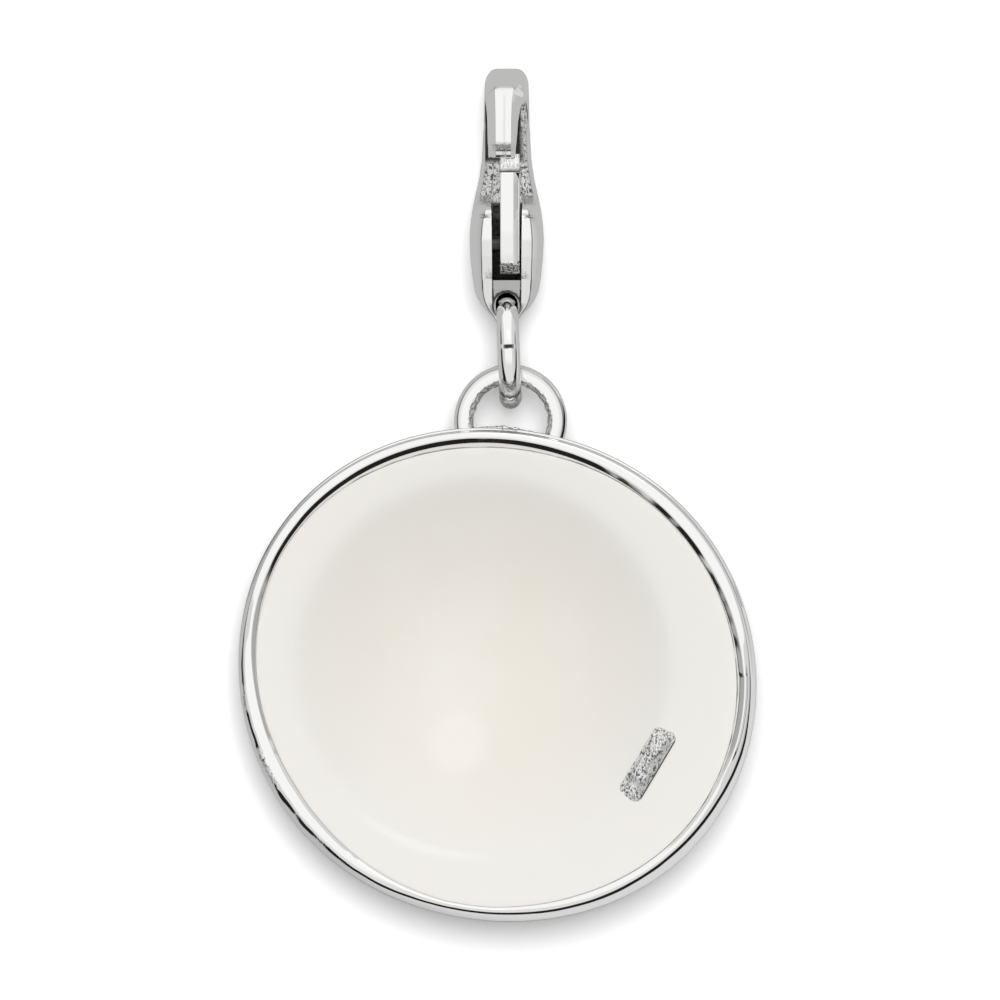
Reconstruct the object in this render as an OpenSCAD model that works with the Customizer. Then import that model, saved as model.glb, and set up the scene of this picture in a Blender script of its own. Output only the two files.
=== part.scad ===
// Enamelled dish charm on a lobster clasp, lying on its rounded back with the
// enamelled hollow up and the clasp on its spine. Lengths in millimetres, +Z up,
// +Y from the dish towards the clasp.

/* [Dish] */
// Mean diameter over the rim
disc_d = 20.6; // [17:0.1:24]
// How far the outline swells along its long axis and draws in across it
disc_oval = 0.34; // [0:0.02:0.6]
// Direction of the long axis, in degrees from +X
disc_oval_turn = 159; // [0:1:180]
// How far the hand-bent outline swells at four corners
disc_corner = 0.05; // [0:0.01:0.1]
// Thickness of the silver wall
silver_wall = 0.8; // [0.6:0.05:1.1]
// Diameter of the flat on which the rounded back stands
base_flat_d = 4; // [3:0.1:5]
// Angle by which the dish lies over on its back
rest_tilt = 3; // [0:0.5:5]
// Direction of the edge that is lifted, in degrees from +X
rest_tilt_turn = -45; // [-90:5:0]

/* [Bowl] */
// Diameter of the hollow inside the brim
bowl_d = 15.2; // [13:0.1:16.5]
// Depth of the hollow below the brim
bowl_depth = 2.3; // [1.6:0.1:2.8]
// Place of the hollow along X, from the middle of the dish
bowl_x = -0.6; // [-1:0.05:1]
// Place of the hollow along Y, from the middle of the dish
bowl_y = 0.36; // [-1:0.02:1]
// How softly the hollow turns into the brim
bowl_ease = 0.14; // [0.05:0.01:0.3]
// Rise of the brim from the middle level to the rim
brim_rise = 0.35; // [0.1:0.05:0.6]

/* [Rim] */
// Width of the polished rim
rim_w = 0.81; // [0.6:0.01:1.1]
// Height of the rim above the edge of the enamel
rim_h = 0.3; // [0.15:0.05:0.5]
// Height of the rim's outer wall
rim_side = 1.4; // [1.2:0.05:1.8]

/* [Enamel] */
// Thickness of the enamel
enamel_t = 0.28; // [0.2:0.02:0.4]
// Gap between the enamel and the silver
enamel_gap = 0.03; // [0.02:0.01:0.05]

/* [Tablet] */
// Length of the bare silver tablet in the brim
tablet_l = 3.1; // [2:0.1:3.6]
// Width of the tablet
tablet_w = 1; // [0.7:0.05:1.3]
// Distance of the tablet from the middle of the dish
tablet_reach = 7.07; // [6:0.05:7.6]
// Direction of the tablet, in degrees from +X
tablet_turn = -30.7; // [-60:0.5:0]
// Height of the tablet above the enamel
tablet_proud = 0.04; // [0.02:0.01:0.1]

/* [Bail] */
// Outer diameter of the soldered ring
bail_d = 4.45; // [4:0.05:5]
// Diameter of its hole
bail_hole_d = 3; // [2.7:0.05:3.2]
// Thickness of the soldered ring
bail_t = 0.75; // [0.6:0.05:0.9]
// How far its middle stands out from the rim
bail_out = 0.3; // [0.1:0.05:0.5]
// Place of its middle along X, from the middle of the dish
bail_x = 0.53; // [-1:0.01:1]

/* [Jump ring] */
// Outer diameter of the jump ring
ring_d = 4.7; // [4.4:0.05:5.2]
// Diameter of its wire
wire_d = 0.9; // [0.8:0.02:1]
// Angle by which the ring leans out of line
ring_lean = 2.4; // [0:0.2:4]
// Clearance of the wire in the holes that it joins
link_gap = 0.07; // [0.05:0.01:0.12]

/* [Clasp] */
// Length from the tail hole to the top of the hook
clasp_l = 9.6; // [9:0.1:11]
// Width across the cheeks
clasp_w = 3; // [2.8:0.05:3.4]
// Height of the clasp on its spine
clasp_h = 4.5; // [4.3:0.05:5]
// Thickness of the spine
spine_t = 1; // [0.85:0.05:1.1]
// Thickness of the hook's bar at its tip
bar_t = 0.95; // [0.8:0.05:1.05]
// Width of the hook's bar at its tip
bar_w = 1.15; // [0.9:0.05:1.3]
// Thickness of the silver at the top of the hook
crown_t = 0.84; // [0.7:0.02:1]
// How far the bar stands left of the spine
bar_shift = 0.13; // [0:0.01:0.2]
// Distance from the tail hole to the tip of the hook
tip_reach = 5.97; // [5.7:0.05:6.4]
// Distance from the tail hole to the top of the cheeks
cheek_reach = 3.5; // [3.35:0.05:3.8]
// Length over which the opening's foot slopes down to the spine
foot_run = 1.1; // [0.8:0.05:1.3]
// Width of the channel between the cheeks
channel_w = 1.18; // [1.14:0.01:1.3]
// Silver around the tail hole
tail_wall = 0.2; // [0.16:0.01:0.3]
// Thickness of the tail along its hole
tail_t = 1.3; // [1:0.05:1.4]

/* [Lever] */
// Width of the lever
lever_w = 0.8; // [0.6:0.02:0.9]
// Thickness of the lever's gate
gate_t = 0.95; // [0.8:0.05:1.05]
// How far the gate's face lies below the clasp's height, at the tip
gate_drop = 0.42; // [0.3:0.02:0.6]
// How far the gate rises from the tip to the crest
crest_rise = 0.22; // [0.1:0.02:0.3]
// Width of the bevel along the lever's right edge
lever_bevel = 0.28; // [0.1:0.02:0.35]
// Distance from the tail hole to the lever's lower end
lever_foot = 1.25; // [1.1:0.05:1.5]
// Distance from the tail hole to the crest that the thumb presses
thumb_reach = 3.13; // [2.9:0.05:3.4]
// Length of the bare cast end below the thumb
bare_end = 0.47; // [0.3:0.02:0.6]
// Gap between the lever's lower end and the body
lever_end_gap = 0.16; // [0.1:0.02:0.3]
// Thickness of the tongue that stops behind the hook's tip
tongue_t = 0.36; // [0.25:0.02:0.45]
// How far the tongue reaches behind the tip of the hook
tongue_lap = 0.18; // [0.1:0.02:0.3]
// How far the tongue shows below the tip of the hook
tongue_show = 0.6; // [0.4:0.05:0.8]
// Gap between the lever and the right cheek
lever_gap = 0.06; // [0.04:0.01:0.1]
// Gap between the lever's tongue and the hook
tongue_gap = 0.05; // [0.04:0.01:0.1]
// Diameter of the rivet that the lever turns on
pin_d = 0.64; // [0.5:0.02:0.8]
// Clearance of the rivet in the lever, on the radius
pin_gap = 0.03; // [0.02:0.01:0.05]
// Silver around the rivet in the lever
boss_wall = 0.42; // [0.3:0.02:0.5]
// Distance from the tail hole to the rivet
pivot_reach = 2.49; // [2.3:0.02:2.7]
// Height of the rivet above the spine's back
pivot_z = 2.85; // [2.6:0.05:3]

/* [Hidden] */
$fn = 48;

silver = "silver";
around = 64;
disc_r = disc_d / 2;
bowl_r = bowl_d / 2;
seat_drop = enamel_t + enamel_gap;
base_ball_r = bowl_r * bowl_r / (2 * bowl_depth);
base_sink = base_flat_d * base_flat_d / (8 * base_ball_r);
ring_r = (ring_d - wire_d) / 2;
wire_r = wire_d / 2;
ring_z = ring_d / 2;

// Width of the rim round the dish, which was filed by hand. Columns: direction in
// degrees from +X, share of the rim's width.
rim_evenness = [
    [0, 1.00],
    [120, 1.04],
    [150, 0.78],
    [180, 0.96],
    [210, 1.24],
    [235, 0.92],
    [255, 0.66],
    [270, 0.68],
    [290, 0.94],
    [360, 1.00]
];

function local_rim(turn) = rim_w * eased_value(rim_evenness, 1, turn, 12);

// Outline of the dish: a circle with a share of two and of four swellings.
function outline_r(turn) =
    disc_r + disc_oval * cos(2 * (turn - disc_oval_turn))
    + disc_corner * cos(4 * (turn - 135));

// Height of the enamel's face above the lowest point of the silver. The hollow is
// a paraboloid that eases into a brim which rises towards the rim.
function face_z(x, y) =
    let (across = norm([x - bowl_x, y - bowl_y]) / bowl_r,
         dip = bowl_depth * (1 - across * across),
         eased = (dip + sqrt(dip * dip + 4 * bowl_ease * bowl_ease)) / 2,
         out = norm([x, y]) / disc_r)
    silver_wall + seat_drop + bowl_depth - eased + brim_rise * out * out;

// A point at a share of the way from the middle to a line near the outline, which
// lies a number of rim widths and a gap inside it. The point is below the face.
function face_point(turn, share, rims, gap, drop) =
    let (r = share * (outline_r(turn) - rims * local_rim(turn) - gap))
    [r * cos(turn), r * sin(turn), face_z(r * cos(turn), r * sin(turn)) - drop];

// The same near the rim, with the height counted from the enamel's edge.
function rim_point(turn, rims, rise) =
    let (r = outline_r(turn) - rims * local_rim(turn),
         edge = face_point(turn, 1, 1, 0, 0))
    [r * cos(turn), r * sin(turn), edge[2] + rise];

function face_loop(share, rims, gap, drop) =
    [for (i = [0:around - 1]) face_point(i * 360 / around, share, rims, gap, drop)];

function rim_loop(rims, rise) =
    [for (i = [0:around - 1]) rim_point(i * 360 / around, rims, rise)];

// Value at a place in a table's column, eased over its neighbours.
function eased_value(rows, column, place, ease) =
    let (pairs = [for (row = rows) [row[0], row[column]]])
    (lookup(place - ease, pairs) + 2 * lookup(place, pairs) + lookup(place + ease, pairs)) / 4;

// Number raised to a power with its sign kept, for sections with round corners.
function signed_pow(value, power) = sign(value) * pow(abs(value), power);

// Solid between a row of equal loops, closed by a fan to a point at each end.
module loft(loops, first, last) {
    count = len(loops[0]);
    rows = len(loops);
    points = concat([for (loop = loops, point = loop) point], [first, last]);
    sides = [for (j = [0:rows - 2], i = [0:count - 1])
        let (k = (i + 1) % count, a = j * count, b = a + count)
        each [[a + i, b + i, b + k], [a + i, b + k, a + k]]];
    start = [for (i = [0:count - 1]) [rows * count, i, (i + 1) % count]];
    finish = [for (i = [0:count - 1])
        let (a = (rows - 1) * count)
        [rows * count + 1, a + (i + 1) % count, a + i]];
    polyhedron(points = points, faces = concat(sides, start, finish), convexity = 6);
}

// Rim section from the underside round to the enamel's edge. Columns: inset from
// the outline in rim widths, height above the enamel's edge as a share of the rim's
// height, height as a share of the outer wall.
rim_rows = [
    [0.10, 1.00, -0.94],
    [0.02, 1.00, -0.78],
    [0.00, 1.00, -0.50],
    [0.04, 1.00, -0.38],
    [0.17, 1.00, -0.33],
    [0.21, 1.00, -0.18],
    [0.30, 1.00, -0.06],
    [0.42, 1.00, 0.00],
    [0.60, 1.00, 0.00],
    [0.70, 0.75, 0.00],
    [0.80, 0.30, 0.00],
    [1.00, 0.10, 0.00]
];

// Shares of the radius at which the shell has its loops.
shell_shares = [0.08, 0.2, 0.34, 0.48, 0.6, 0.7, 0.78, 0.86, 0.93];
inward_shares = [for (k = [len(shell_shares) - 1:-1:0]) shell_shares[k]];

under_loops = [for (share = shell_shares) face_loop(share, 0.5, 0, seat_drop + silver_wall)];
rim_loops = [for (row = rim_rows) rim_loop(row[0], row[1] * rim_h + row[2] * rim_side)];
seat_loops = [for (share = concat([1], inward_shares)) face_loop(share, 1, 0, seat_drop)];

// How the dish lies: tilted about the middle of its underside, then let down until
// its back stands on the flat.
tilt_axis = [cos(rest_tilt_turn - 90), sin(rest_tilt_turn - 90), 0];

function tilted(point) =
    let (along = tilt_axis * (tilt_axis * point))
    along + (point - along) * cos(rest_tilt) + cross(tilt_axis, point) * sin(rest_tilt);

lowest_z = min([for (loop = under_loops, point = loop) tilted(point)[2]]);
lie_down = -lowest_z - base_sink;

// Places of the linked pieces, each from the one before it.
bail_hole_r = bail_hole_d / 2;
bail_middle = [bail_x, outline_r(90) + bail_out];
bail_far = [bail_middle[0], bail_middle[1] + (bail_d + bail_hole_d) / 4, 0];
bail_z = ring_z - tilted(bail_far)[2] - lie_down;
bail_at = tilted([bail_middle[0], bail_middle[1], bail_z]);
ring_inner_r = ring_r - wire_r;
ring_outer_r = ring_r + wire_r;
bail_side_r = sqrt(ring_inner_r * ring_inner_r - bail_t * bail_t / 4);
tail_side_r = sqrt(ring_inner_r * ring_inner_r - tail_t * tail_t / 4);
tail_hole_r = (ring_outer_r - tail_side_r) / 2 + link_gap;
tail_r = tail_hole_r + tail_wall;
lean_x = ring_r * sin(ring_lean);
ring_at = [bail_at[0] - lean_x, bail_at[1] + bail_hole_r + bail_side_r - link_gap];
clasp_at = [ring_at[0] - lean_x, ring_at[1] + (ring_outer_r + tail_side_r) / 2];

// The whole stands with the middle of its box over the origin.
rim_edge = [for (loop = rim_loops, point = loop) tilted(point)];
left_x = min([for (point = rim_edge) point[0]]);
right_x = max([for (point = rim_edge) point[0]]);
bottom_y = min([for (point = rim_edge) point[1]]);
shift_x = -(left_x + right_x) / 2;
shift_y = -(bottom_y + clasp_at[1] + clasp_l) / 2;

module dish_lies() {
    translate([shift_x, shift_y, lie_down])
        rotate(a = rest_tilt, v = tilt_axis)
            children();
}

module clasp_lies() {
    translate([clasp_at[0] + shift_x, clasp_at[1] + shift_y, 0])
        children();
}

// Silver shell with its rim, before anything is soldered to it.
module shell() {
    loft(concat(under_loops, rim_loops, seat_loops),
         [0, 0, face_z(0, 0) - seat_drop - silver_wall],
         [0, 0, face_z(0, 0) - seat_drop]);
}

// The space above the shell's middle, which the soldered ring may not reach.
module hollow() {
    drop = seat_drop + silver_wall / 3;
    loft(concat([for (share = concat(shell_shares, [1])) face_loop(share, 1, 0, drop)],
                [face_loop(1, 1, 0, -disc_r)]),
         [0, 0, face_z(0, 0) - drop],
         [0, 0, face_z(0, 0) + disc_r]);
}

// Flat ring, bevelled outside and widening towards its upper face inside.
module bail() {
    bevel = bail_t / 5;
    translate([bail_middle[0], bail_middle[1], bail_z])
        rotate_extrude()
            polygon([
                [bail_hole_r, -bail_t / 2],
                [bail_d / 2 - bevel, -bail_t / 2],
                [bail_d / 2, -bail_t / 2 + bevel],
                [bail_d / 2, bail_t / 2 - bevel],
                [bail_d / 2 - bevel, bail_t / 2],
                [bail_hole_r + 1.4 * bevel, bail_t / 2],
                [bail_hole_r, 0]
            ]);
}

function tablet_face(reach) = face_z(reach * cos(tablet_turn), reach * sin(tablet_turn));

// Block with round corners, grown by a gap, that stands where the tablet is and
// follows the brim's slope there.
module tablet_block(grow) {
    rise = tablet_face(tablet_reach + tablet_w / 2) - tablet_face(tablet_reach - tablet_w / 2);
    depth = seat_drop + silver_wall / 2;
    rotate([0, 0, tablet_turn])
        translate([tablet_reach, 0, tablet_face(tablet_reach) + tablet_proud])
            rotate([0, -atan(rise / tablet_w), 0])
                translate([0, 0, -depth])
                    linear_extrude(height = depth + grow)
                        tablet_outline(tablet_w / 2 + grow, tablet_l / 2 + grow, tablet_w / 3);
}

module tablet_outline(half_w, half_l, corner) {
    square([2 * half_w, 2 * (half_l - corner)], center = true);
    square([2 * (half_w - corner), 2 * half_l], center = true);
    for (x = [-1, 1], y = [-1, 1])
        translate([x * (half_w - corner), y * (half_l - corner)])
            circle(r = corner);
}

// The dish is one piece of silver: shell, rim, soldered ring and tablet, with its
// back worn flat where it stands.
module dish() {
    color(silver)
        difference() {
            dish_lies() {
                shell();
                difference() {
                    bail();
                    hollow();
                }
                tablet_block(0);
            }
            translate([0, 0, -disc_d])
                cube(2 * disc_d, center = true);
        }
}

// Enamel laid into the shell, with its hole for the tablet.
module enamel() {
    face_shares = [1, 0.975, 0.93, 0.86, 0.78, 0.72, 0.65, 0.55, 0.42, 0.28, 0.14];
    under_shares = [0.14, 0.3, 0.46, 0.6, 0.72, 0.82, 0.91, 1];
    color("ivory")
        dish_lies()
            difference() {
                loft(concat([for (share = under_shares) face_loop(share, 1, enamel_gap, enamel_t)],
                            [for (share = face_shares) face_loop(share, 1, enamel_gap, 0)]),
                     [0, 0, face_z(0, 0) - enamel_t],
                     [0, 0, face_z(0, 0)]);
                tablet_block(enamel_gap);
            }
}

module jump_ring() {
    color(silver)
        translate([ring_at[0] + shift_x, ring_at[1] + shift_y, ring_z])
            rotate([0, 0, ring_lean])
                rotate([0, 90, 0])
                    rotate_extrude()
                        translate([ring_r, 0])
                            circle(r = wire_r);
}

section_points = 24;
section_power = 0.62;

// Hook section by section. Columns: station, -1 to 0 up the spine, 0 to 1 round the
// bend and 1 to 2 down the bar; width as a share of the cheeks' width; width as a
// share of the bar's; thickness as a share of the spine; shift as a share of the
// bar's.
hook_rows = [
    [-1.00, 0.55, 0.00, 0.90, 0.0],
    [-0.80, 0.70, 0.00, 1.00, 0.0],
    [-0.60, 0.84, 0.00, 1.00, 0.0],
    [-0.45, 0.75, 0.00, 1.00, 0.0],
    [-0.25, 0.67, 0.00, 1.00, 0.0],
    [0.00, 0.62, 0.00, 1.00, 0.0],
    [0.25, 0.55, 0.00, 0.95, 0.0],
    [0.50, 0.49, 0.00, 0.92, 0.1],
    [0.75, 0.22, 0.70, 0.94, 0.4],
    [1.00, 0.06, 0.95, 0.97, 0.8],
    [2.00, 0.00, 1.00, 0.95, 1.0]
];

seat_r = (clasp_h - spine_t - bar_t) / 2;
seat_reach = clasp_l - crown_t - seat_r;
seat_z = spine_t + seat_r;
bend_depth = (clasp_h - spine_t / 2 - bar_t / 2) / 2;
bend_rise = clasp_l - 0.46 * spine_t - seat_reach;
spine_swing = 34;
spine_fall = 0.94 * clasp_l;

// Middle of the hook's section at a station: reach from the tail hole, and height.
function hook_middle(station) =
    station < 0
        ? [seat_reach + spine_fall * sin(spine_swing * station),
           spine_t / 2 + bend_depth * (1 - cos(spine_swing * station))]
        : station < 1
            ? [seat_reach + bend_rise * sin(180 * station),
               spine_t / 2 + bend_depth * (1 - cos(180 * station))]
            : [seat_reach + (tip_reach - seat_reach) * (station - 1), clasp_h - bar_t / 2];

function hook_outward(station) =
    let (step = hook_middle(min(station + 0.02, 2)) - hook_middle(station - 0.02))
    [step[1], -step[0]] / norm(step);

function hook_loop(station) =
    let (width = eased_value(hook_rows, 1, station, 0.06) * clasp_w
                 + eased_value(hook_rows, 2, station, 0.06) * bar_w,
         thick = eased_value(hook_rows, 3, station, 0.06) * spine_t,
         shift = eased_value(hook_rows, 4, station, 0.06) * bar_shift,
         middle = hook_middle(station),
         outward = hook_outward(station))
    [for (i = [0:section_points - 1])
        let (a = i * 360 / section_points,
             across = signed_pow(cos(a), section_power) * width / 2,
             out = signed_pow(sin(a), section_power) * thick / 2)
        [across - shift, middle[0] + out * outward[0], middle[1] + out * outward[1]]];

module hook() {
    stations = concat([-1:0.125:-0.1], [0:0.0625:1], [1.3, 1.65, 2]);
    foot = hook_middle(-1);
    tip = hook_middle(2);
    loft([for (part = stations) for (station = part) hook_loop(station)],
         [0, foot[0], foot[1]],
         [-bar_shift, tip[0], tip[1]]);
}

// Body with its cheeks. Columns: place along the clasp as a share of its length,
// half width as a share of the width, depth as a share of the height, and how far
// the section's middle has come from the tail's height to the clasp's own.
body_rows = [
    [0.000, 0.340, 0.42, 0.0],
    [0.060, 0.434, 0.56, 0.5],
    [0.116, 0.462, 0.70, 0.8],
    [0.196, 0.490, 0.85, 1.0],
    [0.272, 0.500, 0.93, 1.0],
    [0.371, 0.476, 0.95, 1.0],
    [0.479, 0.407, 0.93, 1.0]
];

// Tail below the hole. Columns: place and half width as shares of the tail's
// radius, depth as a share of the clasp's height.
tail_rows = [
    [-1.00, 0.16, 0.27],
    [-0.90, 0.38, 0.30],
    [-0.73, 0.62, 0.32],
    [-0.50, 0.86, 0.35],
    [-0.25, 1.08, 0.38]
];

function body_loop(reach, half_w, depth, middle_z) =
    [for (i = [0:section_points - 1])
        let (a = -i * 360 / section_points)
        [half_w * signed_pow(cos(a), section_power), reach,
         middle_z + depth / 2 * signed_pow(sin(a), section_power)]];

module body_block() {
    tail_loops = [for (row = tail_rows)
        body_loop(row[0] * tail_r, row[1] * tail_r, row[2] * clasp_h, ring_z)];
    loops = [for (place = [0:0.03:0.48])
        let (lift = eased_value(body_rows, 3, place, 0.02) * (clasp_h / 2 - ring_z))
        body_loop(place * clasp_l,
                  eased_value(body_rows, 1, place, 0.02) * clasp_w,
                  eased_value(body_rows, 2, place, 0.02) * clasp_h,
                  ring_z + lift)];
    loft(concat(tail_loops, loops),
         [0, -1.03 * tail_r, ring_z],
         [0, 0.48 * clasp_l, clasp_h / 2]);
}

// Side of the hook's opening where it runs down from the cheeks to the spine.
module opening_foot() {
    rotate([90, 0, 90])
        linear_extrude(height = 2 * clasp_w, center = true)
            polygon([
                [cheek_reach, 2 * clasp_h],
                [cheek_reach + 0.05 * foot_run, 0.84 * clasp_h],
                [cheek_reach + 0.25 * foot_run, 0.58 * clasp_h],
                [cheek_reach + 0.55 * foot_run, 1.35 * spine_t],
                [cheek_reach + foot_run, spine_t],
                [clasp_l, spine_t],
                [clasp_l, 2 * clasp_h]
            ]);
}

// Channel for the lever, and the shallower ones in which the ring's wire lies.
module channels() {
    foot = lever_foot - lever_end_gap;
    translate([-channel_w / 2, foot, 1.3 * spine_t])
        cube([channel_w, clasp_l, clasp_h]);
    translate([-channel_w / 2, foot + 0.1 - clasp_l, ring_z + tail_t / 2])
        cube([channel_w, clasp_l, clasp_h]);
    translate([-channel_w / 2, tail_hole_r - clasp_l, ring_z - tail_t / 2 - clasp_h])
        cube([channel_w, clasp_l, clasp_h]);
}

module rivet_bore(r) {
    translate([0, pivot_reach, pivot_z])
        rotate([0, 90, 0])
            cylinder(r = r, h = 2 * clasp_w, center = true);
}

module clasp_body() {
    color(silver)
        clasp_lies()
            difference() {
                union() {
                    difference() {
                        body_block();
                        opening_foot();
                        channels();
                    }
                    hook();
                }
                translate([0, 0, ring_z])
                    cylinder(r = tail_hole_r, h = clasp_h, center = true);
                translate([0, seat_reach, seat_z])
                    rotate([0, 90, 0])
                        cylinder(r = seat_r, h = clasp_w, center = true);
                rivet_bore(pin_d / 2);
            }
}

lever_x = channel_w / 2 - lever_gap - lever_w / 2;
gate_z = clasp_h - gate_drop;
crest_z = gate_z + crest_rise;
tongue_z = clasp_h - bar_t - tongue_gap;
boss_r = pin_d / 2 + pin_gap + boss_wall;

// Side outline of the lever: tongue, gate, crest under the thumb, bare end, boss.
module lever_outline() {
    polygon([
        [tip_reach + tongue_lap, tongue_z - tongue_t],
        [tip_reach + tongue_lap, tongue_z],
        [tip_reach - tongue_show, tongue_z],
        [tip_reach - tongue_show, gate_z],
        [thumb_reach, crest_z],
        [lever_foot + bare_end, crest_z - 0.3 * gate_t],
        [lever_foot, crest_z - 0.9 * gate_t],
        [lever_foot, crest_z - 1.2 * gate_t],
        [pivot_reach, pivot_z - 0.6 * boss_r],
        [pivot_reach + 1.3 * boss_r, gate_z - gate_t]
    ]);
    translate([pivot_reach, pivot_z])
        circle(r = boss_r);
}

// Space over a slanting face beside the lever's right edge.
module edge_bevel(reach, height, slope) {
    translate([lever_x + lever_w / 2 - lever_bevel, reach, height])
        rotate([slope, 0, 0])
            rotate([0, 35, 0])
                translate([-clasp_w, -clasp_l, 0])
                    cube([2 * clasp_w, 2 * clasp_l, clasp_h]);
}

module clasp_lever() {
    gate_run = tip_reach - tongue_show - thumb_reach;
    thumb_run = thumb_reach - lever_foot - bare_end;
    color(silver)
        clasp_lies()
            difference() {
                translate([lever_x, 0, 0])
                    rotate([90, 0, 90])
                        linear_extrude(height = lever_w, center = true)
                            lever_outline();
                edge_bevel(thumb_reach, crest_z, atan2(-crest_rise, gate_run));
                edge_bevel(thumb_reach, crest_z, atan2(0.3 * gate_t, thumb_run));
                rivet_bore(pin_d / 2 + pin_gap);
            }
}

module lever_pin() {
    color("gainsboro")
        clasp_lies()
            translate([0, pivot_reach, pivot_z])
                rotate([0, 90, 0])
                    cylinder(d = pin_d, h = 0.96 * clasp_w, center = true);
}

dish();
enamel();
jump_ring();
clasp_body();
clasp_lever();
lever_pin();
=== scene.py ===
"""Looks of an enamelled dish charm on a lobster clasp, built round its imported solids.

The charm lies on a white table with its enamelled hollow up and its clasp towards +Y.
The classes hold sizes in millimetres, and the meshes are made in metres.
"""

import logging
import math
from collections.abc import Sequence
from dataclasses import dataclass, field
from enum import StrEnum

import bpy
import numpy as np
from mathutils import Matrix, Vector


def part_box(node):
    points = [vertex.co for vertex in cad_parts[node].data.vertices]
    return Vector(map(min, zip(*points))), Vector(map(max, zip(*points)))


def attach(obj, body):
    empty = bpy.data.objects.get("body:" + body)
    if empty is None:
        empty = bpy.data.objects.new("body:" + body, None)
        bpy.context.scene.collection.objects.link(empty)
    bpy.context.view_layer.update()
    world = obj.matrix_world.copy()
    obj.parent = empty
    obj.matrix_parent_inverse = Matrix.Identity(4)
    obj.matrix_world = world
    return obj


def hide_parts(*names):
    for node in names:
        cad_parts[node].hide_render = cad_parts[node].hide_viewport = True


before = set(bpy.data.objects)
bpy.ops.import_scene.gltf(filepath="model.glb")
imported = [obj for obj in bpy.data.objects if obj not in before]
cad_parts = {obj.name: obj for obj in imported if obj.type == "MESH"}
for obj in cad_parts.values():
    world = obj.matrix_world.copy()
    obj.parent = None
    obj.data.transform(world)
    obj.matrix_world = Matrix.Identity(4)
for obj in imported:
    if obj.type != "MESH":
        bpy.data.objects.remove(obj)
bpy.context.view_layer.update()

log = logging.getLogger("charm")

MM = 0.001

Array = np.ndarray
Socket = bpy.types.NodeSocket
Colour = tuple[float, float, float, float]
# A random field's seed, and the size and height of its bumps in millimetres.
Layer = tuple[int, float, float]


class Body(StrEnum):
    """Bodies of the record: what lies still, and what turns on the rivet."""

    CHARM = "charm"
    LEVER = "lever"


class Slot(StrEnum):
    """The record's slots for the finishes."""

    SILVER = "polished_silver"
    ENAMEL = "white_enamel"
    RIVET = "rivet_silver"


# Numbers and curves


def unit(vectors: Array) -> Array:
    """Vectors scaled to length one.

    Args:
        vectors: any array whose last axis is a vector.

    Returns:
        The same array with each vector divided by its length.
    """
    return vectors / np.maximum(np.linalg.norm(vectors, axis=-1, keepdims=True), 1e-12)


def smooth(low: float, high: float, value: Array) -> Array:
    """Smooth step: 0 below low, 1 above high, and 3t^2 - 2t^3 between them."""
    t = np.clip((value - low) / (high - low), 0, 1)
    return t * t * (3 - 2 * t)


def bell(value: Array, middle: float | Array, width: float | Array) -> Array:
    """Bell curve, exp(-((value - middle) / width)^2)."""
    return np.exp(-(((value - middle) / width) ** 2))


def circle(count: int) -> Array:
    """Directions in radians, evenly spaced round a circle."""
    return np.radians(np.arange(count) * 360 / count)


def toward(turn: float, lean: float) -> Vector:
    """Unit vector with a turn from +X and a lean from overhead, both in degrees."""
    a, b = math.radians(turn), math.radians(lean)
    return Vector((math.sin(b) * math.cos(a), math.sin(b) * math.sin(a), math.cos(b)))


def polar(reach: float | Array, angle: float | Array) -> tuple[Array, Array]:
    """Two coordinates of a point at a reach in a direction in radians."""
    return reach * np.cos(angle), reach * np.sin(angle)


def stacked(*parts: float | Array) -> Array:
    """Points from their coordinates, each spread to the shape of all of them together."""
    return np.stack(np.broadcast_arrays(*parts), axis=-1)


def table(*rows: tuple[float, ...]) -> Array:
    """Rows of numbers as an array."""
    return np.array(rows, float)


def eased(rows: Array, column: int, place: Array, ease: float) -> Array:
    """Value of a table's column at a place, eased over its neighbourhood.

    The value is (f(place - ease) + 2 f(place) + f(place + ease)) / 4, where f joins
    the rows with straight lines and the first column is the place.

    Args:
        rows: the table, with rising places in its first column.
        column: the column to read.
        place: where to read it.
        ease: how far the easing reaches.

    Returns:
        The eased values, shaped as place.
    """
    read = [np.interp(place + step, rows[:, 0], rows[:, column]) for step in (-ease, 0, ease)]
    return (read[0] + 2 * read[1] + read[2]) / 4


def spline(points: Array, steps: int) -> Array:
    """Uniform cubic B-spline of a row of control points, from its first to its last.

    Each stretch is the sum of four neighbouring points with the weights (1 - t)^3,
    3t^3 - 6t^2 + 4, -3t^3 + 3t^2 + 3t + 1 and t^3, over 6. The ends are repeated, so
    that the curve reaches them.

    Args:
        points: control points, one row each.
        steps: samples on each stretch.

    Returns:
        The points of the curve, one row each.
    """
    ends = np.concatenate([points[:1], points[:1], points, points[-1:], points[-1:]])
    t = (np.arange(steps) / steps)[None, :, None]
    weights = [(1 - t) ** 3, 3 * t**3 - 6 * t**2 + 4, -3 * t**3 + 3 * t**2 + 3 * t + 1, t**3]
    count = len(ends) - 3
    curve = sum(w * ends[k : k + count, None, :] for k, w in enumerate(weights)) / 6
    return np.concatenate([curve.reshape(-1, points.shape[1]), points[-1:]])


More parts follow.
